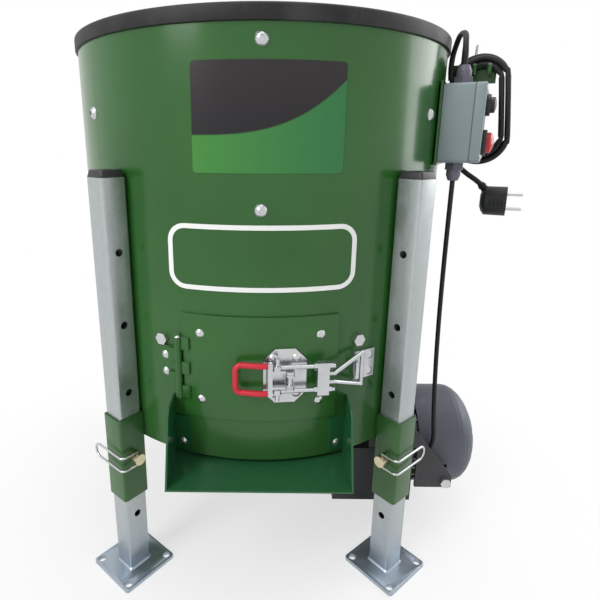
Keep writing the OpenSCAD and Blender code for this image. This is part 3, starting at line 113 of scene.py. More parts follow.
BOX_FRAME = on_wall(BOX_DEG)
LATCH_FRAME = on_wall(
    math.degrees(LATCH_OFF / DRUM_R),
    height=DRUM_LOW + DOOR_RISE + DOOR_H * LATCH_SHARE,
    radius=DRUM_R + CLEAR + DOOR_T,
)


# Finishes

class Signal:
    """An output of a shader node. Arithmetic on it adds Math nodes to its finish."""

    def __init__(self, finish, socket):
        self.finish = finish
        self.socket = socket

    def _math(self, operation, first, second):
        return self.finish.add("ShaderNodeMath", {"operation": operation}, {0: first, 1: second})

    def __add__(self, other):
        return self._math("ADD", self, other)

    __radd__ = __add__

    def __sub__(self, other):
        return self._math("SUBTRACT", self, other)

    def __rsub__(self, other):
        return self._math("SUBTRACT", other, self)

    def __mul__(self, other):
        return self._math("MULTIPLY", self, other)

    __rmul__ = __mul__


class Finish:
    """A material or a world whose nodes are added one at a time, with values or links for their sockets."""

    def __init__(self, name, group="materials", shader="Principled BSDF"):
        self.owner = getattr(bpy.data, group).new(name)
        self.owner.use_nodes = True
        self.tree = self.owner.node_tree
        self.shader = self.tree.nodes[shader]

    @cached_property
    def place(self):
        """Where a point lies on its piece, in metres."""
        return self.add("ShaderNodeTexCoord", output="Object")

    def add(self, kind, settings=None, inputs=None, output=0):
        """Adds a node of any kind and gives one of its outputs."""
        node = self.tree.nodes.new(kind)
        for name, value in (settings or {}).items():
            if name == "stops":
                self._set_stops(node.color_ramp, value)
            else:
                setattr(node, name, value)
        for key, value in (inputs or {}).items():
            self.feed(node.inputs[key], value)
        return Signal(self, node.outputs[output])

    def _set_stops(self, ramp, stops):
        while len(ramp.elements) < len(stops):
            ramp.elements.new(1.0)
        for element, (position, tone) in zip(ramp.elements, stops):
            element.position = position
            element.color = shade(tone, tone, tone)

    def feed(self, socket, value):
        if isinstance(value, Signal):
            self.tree.links.new(value.socket, socket)
        else:
            socket.default_value = value

    def surface(self, **sockets):
        """Sets the shader's sockets: base_color is the socket Base Color, and so on."""
        for name, value in sockets.items():
            socket = name.replace("_", " ").title().replace("Ior", "IOR")
            self.feed(self.shader.inputs[socket], value)
        return self.owner

    def output(self, shader):
        self.feed(self.tree.nodes["Material Output"].inputs["Surface"], shader)

    def stretched(self, x, y, z):
        return self.add("ShaderNodeMapping", inputs={"Vector": self.place, "Scale": (x, y, z)})

    def noise(self, scale, detail, vector=None):
        """Soft noise with about so many lumps to a metre."""
        inputs = {"Vector": vector or self.place, "Scale": scale, "Detail": detail}
        return self.add("ShaderNodeTexNoise", inputs=inputs)

    def cells(self, scale):
        """A shade from 0 to 1 for each crystal of a plated surface."""
        inputs = {"Vector": self.place, "Scale": scale}
        colour = self.add("ShaderNodeTexVoronoi", inputs=inputs, output="Color")
        return self.add("ShaderNodeSeparateColor", inputs={0: colour})

    def ramp(self, value, *stops):
        """A value read through stops, each a position and the value there."""
        return self.add("ShaderNodeValToRGB", {"stops": stops}, {0: value})

    def mix(self, factor, first, second):
        """A colour between two colours."""
        inputs = {0: factor, 6: first, 7: second}
        return self.add("ShaderNodeMix", {"data_type": "RGBA"}, inputs, output=2)

    def bump(self, height, strength, depth):
        """A relief of a depth in millimetres."""
        inputs = {"Strength": strength, "Distance": depth * MM, "Height": height}
        return self.add("ShaderNodeBump", inputs=inputs)

    def axis(self, letter):
        return self.add("ShaderNodeSeparateXYZ", inputs={0: self.place}, output=letter)

    def share(self, letter, low, high):
        """0 at one place along an axis and 1 at another, both in millimetres."""
        return (self.axis(letter) - low * MM) * (1 / (high - low) / MM)

    def seen(self):
        """1 where the camera looks, straight, in a mirror or through glass, and 0 for other light."""
        rays = ("Is Camera Ray", "Is Glossy Ray", "Is Transmission Ray")
        return sum(self.add("ShaderNodeLightPath", output=ray) for ray in rays)


def shade(red, green, blue):
    return (red, green, blue, 1.0)


def enamel(name, low, high, dust):
    """Sprayed gloss paint: orange peel, a slow change of tone, faint rubs, and dust near the ground."""
    paint = Finish(name)
    tone = paint.ramp(paint.noise(6, 4), (0.35, 0.0), (0.68, 1.0))
    rubs = paint.ramp(paint.noise(9, 6, paint.stretched(1, 1, 0.35)), (0.50, 0.0), (0.78, 1.0))
    grounded = paint.ramp(paint.axis("Z") * 3.0 + paint.noise(14, 5) * 0.25, (0.42, 1.0), (0.95, 0.0))
    peel = paint.noise(420, 2)
    colour = paint.mix(tone, low, high)
    colour = paint.mix(grounded * dust, colour, shade(0.10, 0.11, 0.08))
    return paint.surface(
        base_color=colour,
        roughness=0.20 + rubs * 0.12 + grounded * 0.14,
        specular_ior_level=0.38,
        coat_weight=0.12,
        coat_roughness=0.06,
        normal=paint.bump(peel, 0.10, 0.08),
    )


def galvanised_steel():
    """Zinc from a hot bath: crystals, drawn streaks along the tube and dull patches."""
    zinc = Finish("galvanised_legs")
    crystals = zinc.cells(210)
    streaks = zinc.noise(70, 4, zinc.stretched(1, 1, 0.04))
    patches = zinc.ramp(zinc.noise(12, 5), (0.42, 0.0), (0.66, 1.0))
    grounded = zinc.ramp(zinc.axis("Z") * 8.0 + zinc.noise(20, 4) * 0.2, (0.15, 1.0), (0.85, 0.0))
    grain = crystals * 0.20 + streaks * 0.55
    colour = zinc.mix(grain, shade(0.37, 0.40, 0.405), shade(0.56, 0.59, 0.59))
    colour = zinc.mix(patches * 0.30, colour, shade(0.44, 0.47, 0.475))
    colour = zinc.mix(grounded * 0.55, colour, shade(0.33, 0.41, 0.52))
    return zinc.surface(
        base_color=colour,
        metallic=0.86 - patches * 0.12,
        roughness=0.30 + crystals * 0.05 + patches * 0.10,
        normal=zinc.bump(streaks + crystals * 0.2, 0.10, 0.08),
    )


def plated_steel(name, low, high, roughness):
    """Bright plated metal: fine rolling lines, a cloudy tone and handling marks."""
    plate = Finish(name)
    clouds = plate.noise(60, 4)
    lines = plate.noise(500, 2, plate.stretched(0.06, 1, 1))
    marks = plate.ramp(plate.noise(110, 4), (0.56, 0.0), (0.74, 1.0))
    return plate.surface(
        base_color=plate.mix(clouds, low, high),
        metallic=0.95 - marks * 0.1,
        roughness=roughness + lines * 0.06 + marks * 0.10,
        normal=plate.bump(lines + marks * 0.5, 0.05, 0.03),
    )


def cast_metal(name, low, high, metallic, grit):
    """Sand-cast metal under thin paint: pits, a mottled tone and rubbed high spots."""
    cast = Finish(name)
    pits = cast.noise(520, 4)
    mottle = cast.noise(26, 5)
    rubbed = cast.ramp(cast.noise(70, 6), (0.55, 0.0), (0.75, 1.0))
    return cast.surface(
        base_color=cast.mix(mottle * 0.7 + rubbed * 0.3, low, high),
        metallic=metallic,
        roughness=0.44 + pits * 0.14 - rubbed * 0.08,
        normal=cast.bump(pits + mottle * 0.4, 0.25, grit),
    )


def turned_metal(name, low, high):
    """Machined metal with tool rings round its axis and oil-dark patches."""
    turned = Finish(name)
    rings = turned.noise(700, 2, turned.stretched(0.2, 0.2, 1))
    oil = turned.ramp(turned.noise(40, 5), (0.45, 0.0), (0.70, 1.0))
    return turned.surface(
        base_color=turned.mix(oil, high, low),
        metallic=0.92,
        roughness=0.26 + rings * 0.12 + oil * 0.08,
        normal=turned.bump(rings, 0.10, 0.06),
    )


def rubber(name, low, high, bloom):
    """Black rubber: a fine pebble, pale bloom in patches and scuffs."""
    skin = Finish(name)
    pebble = skin.noise(900, 2)
    patches = skin.ramp(skin.noise(22, 5), (0.45, 0.0), (0.72, 1.0))
    scuffs = skin.ramp(skin.noise(110, 6, skin.stretched(1, 1, 0.25)), (0.60, 0.0), (0.74, 1.0))
    return skin.surface(
        base_color=skin.mix(patches * bloom + scuffs * bloom * 0.6, low, high),
        roughness=0.52 + patches * 0.12 + scuffs * 0.08,
        specular_ior_level=0.32,
        normal=skin.bump(pebble, 0.18, 0.08),
    )


def moulded(name, low, high, roughness, texture):
    """Moulded plastic: spark texture, faint flow marks and worn shine."""
    plastic = Finish(name)
    spark = plastic.noise(texture, 3)
    flow = plastic.noise(18, 4, plastic.stretched(1, 1, 0.5))
    shine = plastic.ramp(plastic.noise(45, 5), (0.50, 0.0), (0.74, 1.0))
    return plastic.surface(
        base_color=plastic.mix(flow, low, high),
        roughness=roughness + spark * 0.08 - shine * 0.10,
        normal=plastic.bump(spark, 0.12, 0.06),
    )


def label_print():
    """The upper label's film: charcoal, painted lighter towards the top as a painted sheen, and a green
    band below that sweeps up to the right.
    """
    film = Finish("label_print")
    height = film.share("Z", LABEL_LOW, LABEL_HIGH)
    across = film.share("X", LABEL_LEFT, LABEL_RIGHT)
    sweep = across * across * across * 0.50
    band = film.ramp(height - sweep, (0.34, 1.0), (0.355, 0.0))
    fibres = film.noise(300, 4)
    # The charcoal is painted lighter towards the label's top: a painted sheen.
    charcoal_with_sheen = film.mix(height, shade(0.008, 0.009, 0.012), shade(0.030, 0.025, 0.027))
    fade = across * 0.8 + fibres * 0.2
    green = film.mix(fade, shade(0.058, 0.250, 0.042), shade(0.030, 0.170, 0.062))
    return film.surface(
        base_color=film.mix(band, charcoal_with_sheen, green),
        roughness=0.26 + fibres * 0.06,
        specular_ior_level=0.28,
        normal=film.bump(fibres, 0.05, 0.03),
    )


def decal_white():
    """White cut film: slightly uneven, with a soft sheen."""
    film = Finish("decal_white")
    fibres = film.noise(240, 4)
    worn = film.ramp(film.noise(60, 6), (0.62, 0.0), (0.80, 1.0))
    greying = fibres * 0.5 + worn * 0.4
    return film.surface(
        base_color=film.mix(greying, shade(0.90, 0.91, 0.90), shade(0.78, 0.82, 0.78)),
        roughness=0.34 + fibres * 0.08,
        normal=film.bump(fibres, 0.05, 0.03),
    )


GREEN = enamel("green_enamel", shade(0.018, 0.098, 0.015), shade(0.026, 0.124, 0.021), 0.22)
DEEP_GREEN = enamel("deep_green_enamel", shade(0.010, 0.094, 0.030), shade(0.014, 0.118, 0.040), 0.18)
GALVANISED = galvanised_steel()
ZINC = plated_steel("bright_zinc", shade(0.46, 0.475, 0.49), shade(0.66, 0.67, 0.68), 0.20)
YELLOW_ZINC = plated_steel("yellow_zinc", shade(0.58, 0.49, 0.30), shade(0.74, 0.67, 0.48), 0.24)
TRIM_RUBBER = rubber("trim_rubber", shade(0.012, 0.012, 0.013), shade(0.060, 0.058, 0.058), 0.55)
LINER_RUBBER = rubber("liner_rubber", shade(0.030, 0.030, 0.030), shade(0.095, 0.090, 0.082), 0.70)
CORD_RUBBER = rubber("cord_rubber", shade(0.010, 0.010, 0.011), shade(0.040, 0.038, 0.040), 0.45)
BLACK_PLASTIC = moulded("black_plastic", shade(0.014, 0.014, 0.015), shade(0.026, 0.026, 0.028), 0.42, 620)
GREY_PLASTIC = moulded("grey_plastic", shade(0.18, 0.225, 0.235), shade(0.245, 0.30, 0.31), 0.46, 560)
GLAND_PLASTIC = moulded("gland_plastic", shade(0.115, 0.105, 0.150), shade(0.165, 0.155, 0.205), 0.44, 560)
RED_PLASTIC = moulded("red_plastic", shade(0.50, 0.012, 0.014), shade(0.62, 0.024, 0.022), 0.30, 300)
RED_VINYL = moulded("red_vinyl", shade(0.54, 0.010, 0.028), shade(0.68, 0.022, 0.045), 0.36, 420)
GEAR_CAST = cast_metal("gear_cast", shade(0.07, 0.075, 0.08), shade(0.16, 0.165, 0.17), 0.55, 0.25)
MOTOR_CAST = cast_metal("motor_cast", shade(0.17, 0.18, 0.19), shade(0.30, 0.31, 0.33), 0.70, 0.15)
COWL_PAINT = cast_metal("cowl_paint", shade(0.085, 0.092, 0.118), shade(0.125, 0.134, 0.168), 0.25, 0.03)
STAY_PAINT = cast_metal("stay_paint", shade(0.040, 0.038, 0.042), shade(0.066, 0.064, 0.070), 0.20, 0.06)
BRONZE = turned_metal("bronze", shade(0.34, 0.20, 0.07), shade(0.62, 0.42, 0.17))
TURNED_STEEL = turned_metal("turned_steel", shade(0.32, 0.32, 0.33), shade(0.62, 0.63, 0.64))
LABEL = label_print()
WHITE_FILM = decal_white()

NODE_FINISHES = {
    GREEN: (
        "drum_shell", "drum_floor", "door_frame", "hinge_leaf", "door_panel", "leg_sockets",
        "box_bracket",
    ),
    DEEP_GREEN: ("chute",),
    GALVANISED: ("leg_front_left", "leg_front_right", "leg_rear_right", "leg_rear_left"),
    ZINC: (
        "wall_bolts", "wall_nuts", "hinge_pin", "door_rivets", "latch_base", "latch_handle", "pull_hook",
        "catch_plate", "body_rivets", "bail_front_left", "bail_front_right", "bail_rear_right",
        "bail_rear_left", "drive_bolts",
    ),
    YELLOW_ZINC: ("pin_front_left", "pin_front_right", "pin_rear_right", "pin_rear_left"),
    TRIM_RUBBER: ("rim_trim", "shaft_seal"),
    LINER_RUBBER: ("wall_liner", "door_plug"),
    CORD_RUBBER: ("cord_lead", "cord_hank", "cord_tail", "plug", "motor_cable"),
    BLACK_PLASTIC: ("leg_caps", "switch_block", "start_button", "terminal_box", "motor_fan"),
    GREY_PLASTIC: ("switch_box", "box_lid"),
    GLAND_PLASTIC: ("cable_glands",),
    RED_PLASTIC: ("stop_button",),
    RED_VINYL: ("latch_grip",),
    GEAR_CAST: ("gearbox_housing", "gearbox_cover"),
    MOTOR_CAST: ("motor_housing",),
    COWL_PAINT: ("fan_cowl",),
    STAY_PAINT: ("motor_stay",),
    BRONZE: ("worm_wheel",),
    TURNED_STEEL: ("drive_bearings", "output_shaft", "motor_rotor", "stator_core", "huller_disc"),
}


def give_finish(piece, finish):
    piece.data.materials.clear()
    piece.data.materials.append(finish)


for node_finish, nodes in NODE_FINISHES.items():
    for node in nodes:
        give_finish(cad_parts[node], node_finish)


# Modelling steps

PAST = 2  # how far a cutter reaches past what it cuts, in millimetres
NEAR = 0.1  # how close to a level a corner counts as on it, in millimetres
NEARLY_ALONG = 0.99  # cosine past which a direction counts as that of an axis
SHARP = 40  # degrees past which an edge counts as sharp
ROUTE_STEPS = 3  # points of a smooth route from each given point to the next
AXIS = {"x": Vector((1, 0, 0)), "y": Vector((0, 1, 0)), "z": Vector((0, 0, 1))}
BAR_TURN = {"x": (0, math.radians(90), 0), "y": (math.radians(90), 0, 0), "z": (0, 0, 0)}


def deselect():
    """Leaves nothing selected, in object mode."""
    if bpy.context.mode != "OBJECT":
        bpy.ops.object.mode_set(mode="OBJECT")
    bpy.ops.object.select_all(action="DESELECT")


def only(piece):
    """Leaves one piece selected and active, in object mode."""
    deselect()
    piece.select_set(True)
    bpy.context.view_layer.objects.active = piece


def rename(piece, name):
    piece.name = piece.data.name = name
    return piece


def fix_place():
    """Puts the selected pieces' places into their meshes, with their objects at the origin."""
    bpy.ops.object.transform_apply(location=True, rotation=True, scale=True)


def named(name):
    """Names the primitive that was just added, and fixes its place."""
    fix_place()
    return rename(bpy.context.active_object, name)


def block(name, size, centre):
    """A block of a size in millimetres about a centre."""
    deselect()
    bpy.ops.mesh.primitive_cube_add(size=1, location=mm(*centre), scale=mm(*size))
    return named(name)


def bar(name, diameter, length, centre, along="z", sides=32):
    """A round bar of a diameter and length in millimetres about a centre."""
    deselect()
    bpy.ops.mesh.primitive_cylinder_add(
        vertices=sides,
        radius=diameter / 2 * MM,
        depth=length * MM,
        location=mm(*centre),
        rotation=BAR_TURN[along],
    )
    return named(name)


def upright_sheet(name, width, height, centre):
    """A flat sheet of a size in millimetres that stands across the y axis."""
    deselect()
    bpy.ops.mesh.primitive_plane_add(size=1, location=mm(*centre), rotation=(math.radians(90), 0, 0))
    bpy.context.active_object.scale = (width * MM, height * MM, 1)
    return named(name)


def pick(piece, kind, wanted):
    """Goes into edit mode with the vertices, edges or faces selected for which wanted holds."""
    only(piece)
    bpy.ops.object.mode_set(mode="EDIT")
    bpy.ops.mesh.select_mode(type=kind)
    bpy.ops.mesh.select_all(action="DESELECT")
    mesh = bmesh.from_edit_mesh(piece.data)
    for item in {"VERT": mesh.verts, "EDGE": mesh.edges, "FACE": mesh.faces}[kind]:
        item.select_set(bool(wanted(item)))
    mesh.select_flush_mode()
    bmesh.update_edit_mesh(piece.data)


def leave():
    """Goes back from edit mode."""
    bpy.ops.object.mode_set(mode="OBJECT")


def everything(item):
    """A test that holds for each vertex, edge or face."""
    return True


def corners(test):
    """A test for the edges or faces all of whose corners lie where a test of places holds."""
    return lambda item: all(test(vertex.co) for vertex in item.verts)


def runs_along(letter):
    """A test for the edges that run along an axis."""
    axis = AXIS[letter]
    return lambda edge: abs((edge.verts[0].co - edge.verts[1].co).normalized().dot(axis)) > NEARLY_ALONG


def faces_along(letter, sign=1):
    """A test for the faces that look along an axis, or against it with a sign of -1."""
    axis = AXIS[letter] * sign
    return lambda face: face.normal.dot(axis) > NEARLY_ALONG


def round_edges(piece, width, wanted, segments=4):
    pick(piece, "EDGE", wanted)
    bpy.ops.mesh.bevel(offset=width * MM, segments=segments, affect="EDGES", clamp_overlap=True)
    leave()


def round_corners(sheet, width, wanted, segments):
    """Rounds the wanted corners of a flat sheet."""
    pick(sheet, "VERT", wanted)
    bpy.ops.mesh.bevel(offset=width * MM, segments=segments, affect="VERTICES")
    leave()


def draw_in(piece, kind, wanted, share):
    """Draws the wanted vertices or faces in towards their middle, across the z axis."""
    pick(piece, kind, wanted)
    bpy.ops.transform.resize(value=(share, share, 1))
    leave()


def slice_across(piece, letter, levels):
    """Splits a piece's faces at levels along an axis, with nothing taken away."""
    axis = AXIS[letter]
    for level in levels:
        pick(piece, "FACE", everything)
        bpy.ops.mesh.bisect(plane_co=axis * (level * MM), plane_no=axis)
        leave()


def apply_modifier(piece, kind, **settings):
    """Applies one modifier with its settings to a piece."""
    only(piece)
    modifier = piece.modifiers.new(kind.lower(), kind)
    for name, value in settings.items():
        setattr(modifier, name, value)
    bpy.ops.object.modifier_apply(modifier=modifier.name)


def soften(piece, width, segments=2):
    """Rounds every sharp edge of a piece."""
    apply_modifier(
        piece,
        "BEVEL",
        width=width * MM,
        segments=segments,
        limit_method="ANGLE",
        angle_limit=math.radians(SHARP),
    )


def cut(piece, cutter):
    """Takes a cutter out of a piece."""
    apply_modifier(piece, "BOOLEAN", operation="DIFFERENCE", solver="EXACT", object=cutter)
    bpy.data.objects.remove(cutter)


def join(name, *pieces):
    """Joins pieces into the first of them."""
    only(pieces[0])
    for piece in pieces[1:]:
        piece.select_set(True)
    bpy.ops.object.join()
    return rename(pieces[0], name)


def place(piece, matrix):
    """Moves a piece's mesh by a frame, with its object left at the origin."""
    only(piece)
    piece.matrix_world = matrix
    fix_place()
    return piece


def copy_in(piece, name, matrix):
    """A copy of a piece, with a mesh of its own, in a frame."""
    twin = piece.copy()
    twin.data = piece.data.copy()
    bpy.context.scene.collection.objects.link(twin)
    return place(rename(twin, name), matrix)


def copies(piece, frames):
    """Copies of a piece, each in its own frame. The piece that they are made from is taken away."""
    twins = [copy_in(piece, piece.name, matrix) for matrix in frames]
    bpy.data.objects.remove(piece)
    return twins


def settle(piece, body, finish, nodes=(), angle=35):
    """Gives a finished piece its finish, the body that carries it and the nodes that it stands for."""
    only(piece)
    if piece.type == "MESH":
        bpy.ops.object.shade_smooth_by_angle(angle=math.radians(angle))
    give_finish(piece, finish)
    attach(piece, body)
    if nodes:
        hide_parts(*nodes)


def smooth_route(points):
    """Points on a smooth curve through a route's points."""
    path = []
    last = len(points) - 1
    for i in range(last):
        before = points[max(i - 1, 0)]
        here = points[i]
        there = points[i + 1]
        after = points[min(i + 2, last)]
        for k in range(ROUTE_STEPS):
            t = k / ROUTE_STEPS
            path.append(
                here
                + (there - before) * (0.5 * t)
                + (before * 2 - here * 5 + there * 4 - after) * (0.5 * t * t)
                + (here * 3 - before - there * 3 + after) * (0.5 * t * t * t)
            )
    path.append(points[last].copy())
    return path


def strand(name, path, diameter, closed=False, fineness=4):
    """A round strand along a path, as a curve."""
    line = bpy.data.curves.new(name, "CURVE")
    line.dimensions = "3D"
    line.bevel_depth = diameter / 2 * MM
    line.bevel_resolution = fineness
    line.use_fill_caps = not closed
    spline = line.splines.new("POLY")
    spline.points.add(len(path) - 1)
    for point, at in zip(spline.points, path):
        point.co = (*at, 1.0)
    spline.use_cyclic_u = closed
    piece = bpy.data.objects.new(name, line)
    bpy.context.scene.collection.objects.link(piece)
    return piece


def as_mesh(piece):
    """Turns a strand into a mesh."""
    only(piece)
    bpy.ops.object.convert(target="MESH")
    return bpy.context.active_object


# Camera, fitted to the rim, legs, feet and switch box in the photograph

LENS_MM = 28.78
SENSOR_MM = 36.0
LENS_SHIFT_X = 0.067
LENS_SHIFT_Y = -0.046
CAMERA_AT = (2.8, -729.6, 543.6)
CAMERA_TURN = 0.42
CAMERA_TILT = 75.21
CAMERA_ROLL = 0.30


def photo_camera():
    lens = bpy.data.cameras.new("photo_camera")
    lens.lens = LENS_MM
    lens.sensor_width = SENSOR_MM
    lens.shift_x = LENS_SHIFT_X
    lens.shift_y = LENS_SHIFT_Y
    camera = bpy.data.objects.new("photo_camera", lens)
    bpy.context.scene.collection.objects.link(camera)
    aim = rotation(CAMERA_TURN) @ rotation(CAMERA_TILT, "X") @ rotation(CAMERA_ROLL)
    camera.matrix_world = shift(*CAMERA_AT) @ aim
    bpy.context.scene.camera = camera


# Light and stage, in metres

FLOOR_SIDE = 12
FLOOR_LOW = -0.0005
FLOOR_NEAR = 0.1  # how close to an edge a corner counts as on it
BACKDROP_H = 5
BACKDROP_SWEEP = 1.8
WHITE = shade(1.0, 1.0, 1.0)


def softbox(name, at, towards, size, watts):
    lamp = bpy.data.lights.new(name, "AREA")
    lamp.shape = "RECTANGLE"
    lamp.size, lamp.size_y = size
    lamp.energy = watts
    softbox_lamp = bpy.data.objects.new(name, lamp)
    bpy.context.scene.collection.objects.link(softbox_lamp)
    softbox_lamp.location = at
    aim = (Vector(towards) - Vector(at)).to_track_quat("-Z", "Y")
    softbox_lamp.rotation_euler = aim.to_euler()


def studio_light():
    scene = bpy.context.scene
    scene.view_settings.view_transform = "Standard"
    sky = Finish("studio_white", "worlds", "Background")
    scene.world = sky.surface(color=WHITE, strength=0.50 + sky.seen() * 0.50)
    softbox("key_light", at=(-1.6, -1.7, 2.0), towards=(0, 0, 0.35), size=(0.9, 1.8), watts=40)
    softbox("fill_light", at=(2.3, 0.55, 1.3), towards=(0, 0, 0.4), size=(1.3, 2.0), watts=28)
    softbox("top_light", at=(0.1, 0.2, 2.6), towards=(0, 0, 0.5), size=(1.6, 1.6), watts=18)


def studio_paper():
    """Pale paper that keeps the shadow under the machine and goes to white away from it."""
    paper = Finish("studio_paper")
    fibres = paper.noise(40, 4)
    colour = paper.mix(fibres, shade(0.86, 0.86, 0.86), shade(0.88, 0.88, 0.88))
    finish = paper.surface(base_color=colour, roughness=0.9)
    distance = paper.add(
        "ShaderNodeVectorMath", {"operation": "LENGTH"}, {0: paper.place}, output="Value"
    )
    away = paper.ramp(distance, (0.20, 0.62), (0.55, 1.0))
    glow = paper.add("ShaderNodeEmission", inputs={"Color": WHITE})
    lit = Signal(paper, paper.shader.outputs[0])
    paper.output(paper.add("ShaderNodeMixShader", inputs={0: paper.seen() * away, 1: lit, 2: glow}))
    return finish


def studio_floor():
    """A floor that sweeps up into a backdrop behind the machine."""
    deselect()
    bpy.ops.mesh.primitive_plane_add(size=FLOOR_SIDE, location=(0, 0, FLOOR_LOW))
    floor = named("studio_floor")
    rear = FLOOR_SIDE / 2 - FLOOR_NEAR
    pick(floor, "EDGE", corners(lambda at: at.y > rear))
    bpy.ops.mesh.extrude_region_move(TRANSFORM_OT_translate={"value": (0, 0, BACKDROP_H)})
    leave()
    foot = corners(lambda at: at.y > rear and at.z < FLOOR_NEAR)
    round_edges(floor, BACKDROP_SWEEP / MM, foot, segments=12)
    give_finish(floor, studio_paper())


photo_camera()
studio_light()
studio_floor()


# Mains cord, in the box's frame: along the wall, height above the ground, outwards

CORD_D = 6.8
GLAND_X = -4
GLAND_IN = 18
GLAND_OUT = BOX_BACK + GLAND_IN
GLAND_TOP = Vector((GLAND_X, BOX_TOP, GLAND_OUT))
LEAD_RISE = (
    (0, 19, -0.4), (0, 27, -0.4), (0, 35, -0.4), (2, 45, -1.4),
    (8, 54, -2.4), (17, 60, -4.4), (27, 62, -8.4),
)
LEAD_FALL = ((-17, 50.1, 6.2), (-8, 44.1, 3.2), (-2, 35.1, 0.2), (0, 25.1, -1.2), (0, 15.1, -1.4))
TAIL_FALL = (
    (-0.4, -6.7, 1), (-0.4, -15.7, 3), (-0.4, -23.7, 7), (-0.4, -31.7, 14),
    (-0.4, -39.7, 24), (-0.4, -45.7, 33), (-0.4, -51.7, 41),
)
HANK_TURNS = 4
HANK_PITCH = 7.4
HANK_RUN = 64
HANK_BEND = 20.5
HANK_OUTER = HANK_BEND + HANK_PITCH * HANK_TURNS / 2
HANK_RINGS = 24
HANK_CROSSING = 0.5  # turns in which the cord crosses from the first layer to the second
HANK_LEAN = math.radians(6)
HANK_SIDE = 15
HANK_DROP = 25
HANK_WALL_GAP = 6.7
HANK_MIDDLE = Vector((BOX_W / 2 + HANK_SIDE, BOX_TOP - HANK_DROP, HANK_OUTER + HANK_WALL_GAP))


def hank_radius(turns):
    return HANK_OUTER - HANK_PITCH * min(turns, HANK_TURNS - turns)


def hank_point(turns, out, up):
    """A point of the leaning hank, in the layer that the cord is in after so many turns."""
    crossed = (turns - HANK_TURNS / 2) / HANK_CROSSING + 0.5
    layer = min(1.0, max(0.0, crossed)) * HANK_PITCH
    lean_up = up * math.cos(HANK_LEAN) + out * math.sin(HANK_LEAN)
    lean_out = out * math.cos(HANK_LEAN) - up * math.sin(HANK_LEAN)
    return HANK_MIDDLE + Vector((layer, lean_up, lean_out))


def hank_route():
    """The hank's turns, from its start under the lead to its end above the tail."""
    top = HANK_RUN / 2
    side = -hank_radius(0)
    route = [hank_point(0, side, top + CORD_D), hank_point(0, side, top)]
    for k in range(HANK_TURNS * HANK_RINGS):
        turns = (k + 0.5) / HANK_RINGS
        angle = math.radians(180 + 360 * turns)
        radius = hank_radius(turns)
        up = radius * math.sin(angle) + math.copysign(top, math.sin(angle))
        route.append(hank_point(turns, radius * math.cos(angle), up))
    for up in (top, -top, -top - CORD_D):
        route.append(hank_point(HANK_TURNS, side, up))
    return route


HANK = hank_route()
HANK_START = HANK[0]
HANK_END = HANK[-1]


def steps_from(point, steps):
    return [point + Vector(step) for step in steps]


def mains_path():
    """The lead up from its gland, the hank, and the tail down to the plug."""
    lead = steps_from(GLAND_TOP, LEAD_RISE) + steps_from(HANK_START, LEAD_FALL)
    run_in = [HANK_START * 2 - HANK[1]]
    route = lead + run_in + HANK + steps_from(HANK_END, TAIL_FALL)
    return smooth_route([BOX_FRAME @ (point * MM) for point in route])


# Motor lead, in the machine's frame: it hangs from the lower gland and bends into the terminal box

CABLE_D = 6.0
CABLE_X = -8
CABLE_START = 20  # below the box's lower edge
CABLE_TO = Vector((214, -132, 116))
CABLE_TURN = ((31, 1, 30), (27, 0, 14), (17, 0, 3), (8, 0, 0), (0, 0, 0))
CABLE_COUNT = 19


def motor_lead_path():
    """Leaves the gland straight down, swings out with the cube of its fall, and turns into the box."""
    start = BOX_FRAME @ mm(CABLE_X, BOX_LOW - CABLE_START, GLAND_OUT) / MM
    way = CABLE_TO + Vector(CABLE_TURN[0]) - start
    route = []
    for k in range(CABLE_COUNT):
        share = k / CABLE_COUNT
        route.append(start + Vector((way.x * share**3, way.y * share**3, way.z * share)))
    route += steps_from(CABLE_TO, CABLE_TURN)
    return smooth_route([point * MM for point in route])


def length_of(path):
    return sum((b - a).length for a, b in zip(path, path[1:]))


MAINS_PATH = mains_path()
MOTOR_LEAD_PATH = motor_lead_path()


def cords():
    mains = strand("mains_cord", MAINS_PATH, CORD_D)
    settle(mains, "frame", CORD_RUBBER, ("cord_lead", "cord_hank", "cord_tail"))
    lead = strand("motor_lead", MOTOR_LEAD_PATH, CABLE_D)
    settle(lead, "frame", CORD_RUBBER, ("motor_cable",))
    return mains, lead


# Plug: an angled body with finger grooves, a ribbed sleeve and two pins

PLUG_STEP = Vector((-0.4, -73.7, 49))
PLUG_D = 38
PLUG_LEN = 26
PLUG_SHOULDERS = ((4, 0.72), (2, 0.6))  # depth of each step at the back, and the share of width left
PLUG_EDGE = 0.6
FACE_RIM = 1.6
FACE_DEPTH = 0.8
GROOVE_D = 2.2
GROOVE_LOW = 6
GROOVE_PITCH = 4.5
GROOVE_COUNT = 4
SLEEVE_D = 11
SLEEVE_MOUTH = 0.78
SLEEVE_NECK = 0.82
RIB_START = 2
RIB_PITCH = 2.6
RIB_COUNT = 6
SLEEVE_RIBS = [RIB_START + RIB_PITCH * k for k in range(RIB_COUNT)]
PRONG_GAP = 19
PRONG_D = 4.8
PRONG_LEN = 19
PRONG_ROUND = 1.6


def plug_body():
    body = bar("plug_body", PLUG_D, PLUG_LEN, (0, 0, PLUG_LEN / 2), sides=48)
    pick(body, "FACE", faces_along("z", -1))
    for depth, share in PLUG_SHOULDERS:
        bpy.ops.mesh.extrude_region_move(TRANSFORM_OT_translate={"value": mm(0, 0, -depth)})
        bpy.ops.transform.resize(value=(share, share, 1))
    leave()
    pick(body, "FACE", faces_along("z"))
    bpy.ops.mesh.inset(thickness=FACE_RIM * MM, depth=-FACE_DEPTH * MM)
    leave()
    for side in (-PLUG_D / 2, PLUG_D / 2):
        for k in range(GROOVE_COUNT):
            centre = (side, 0, GROOVE_LOW + GROOVE_PITCH * k)
            cut(body, bar("groove", GROOVE_D, PLUG_D, centre, along="y", sides=16))
    soften(body, PLUG_EDGE)
    return body


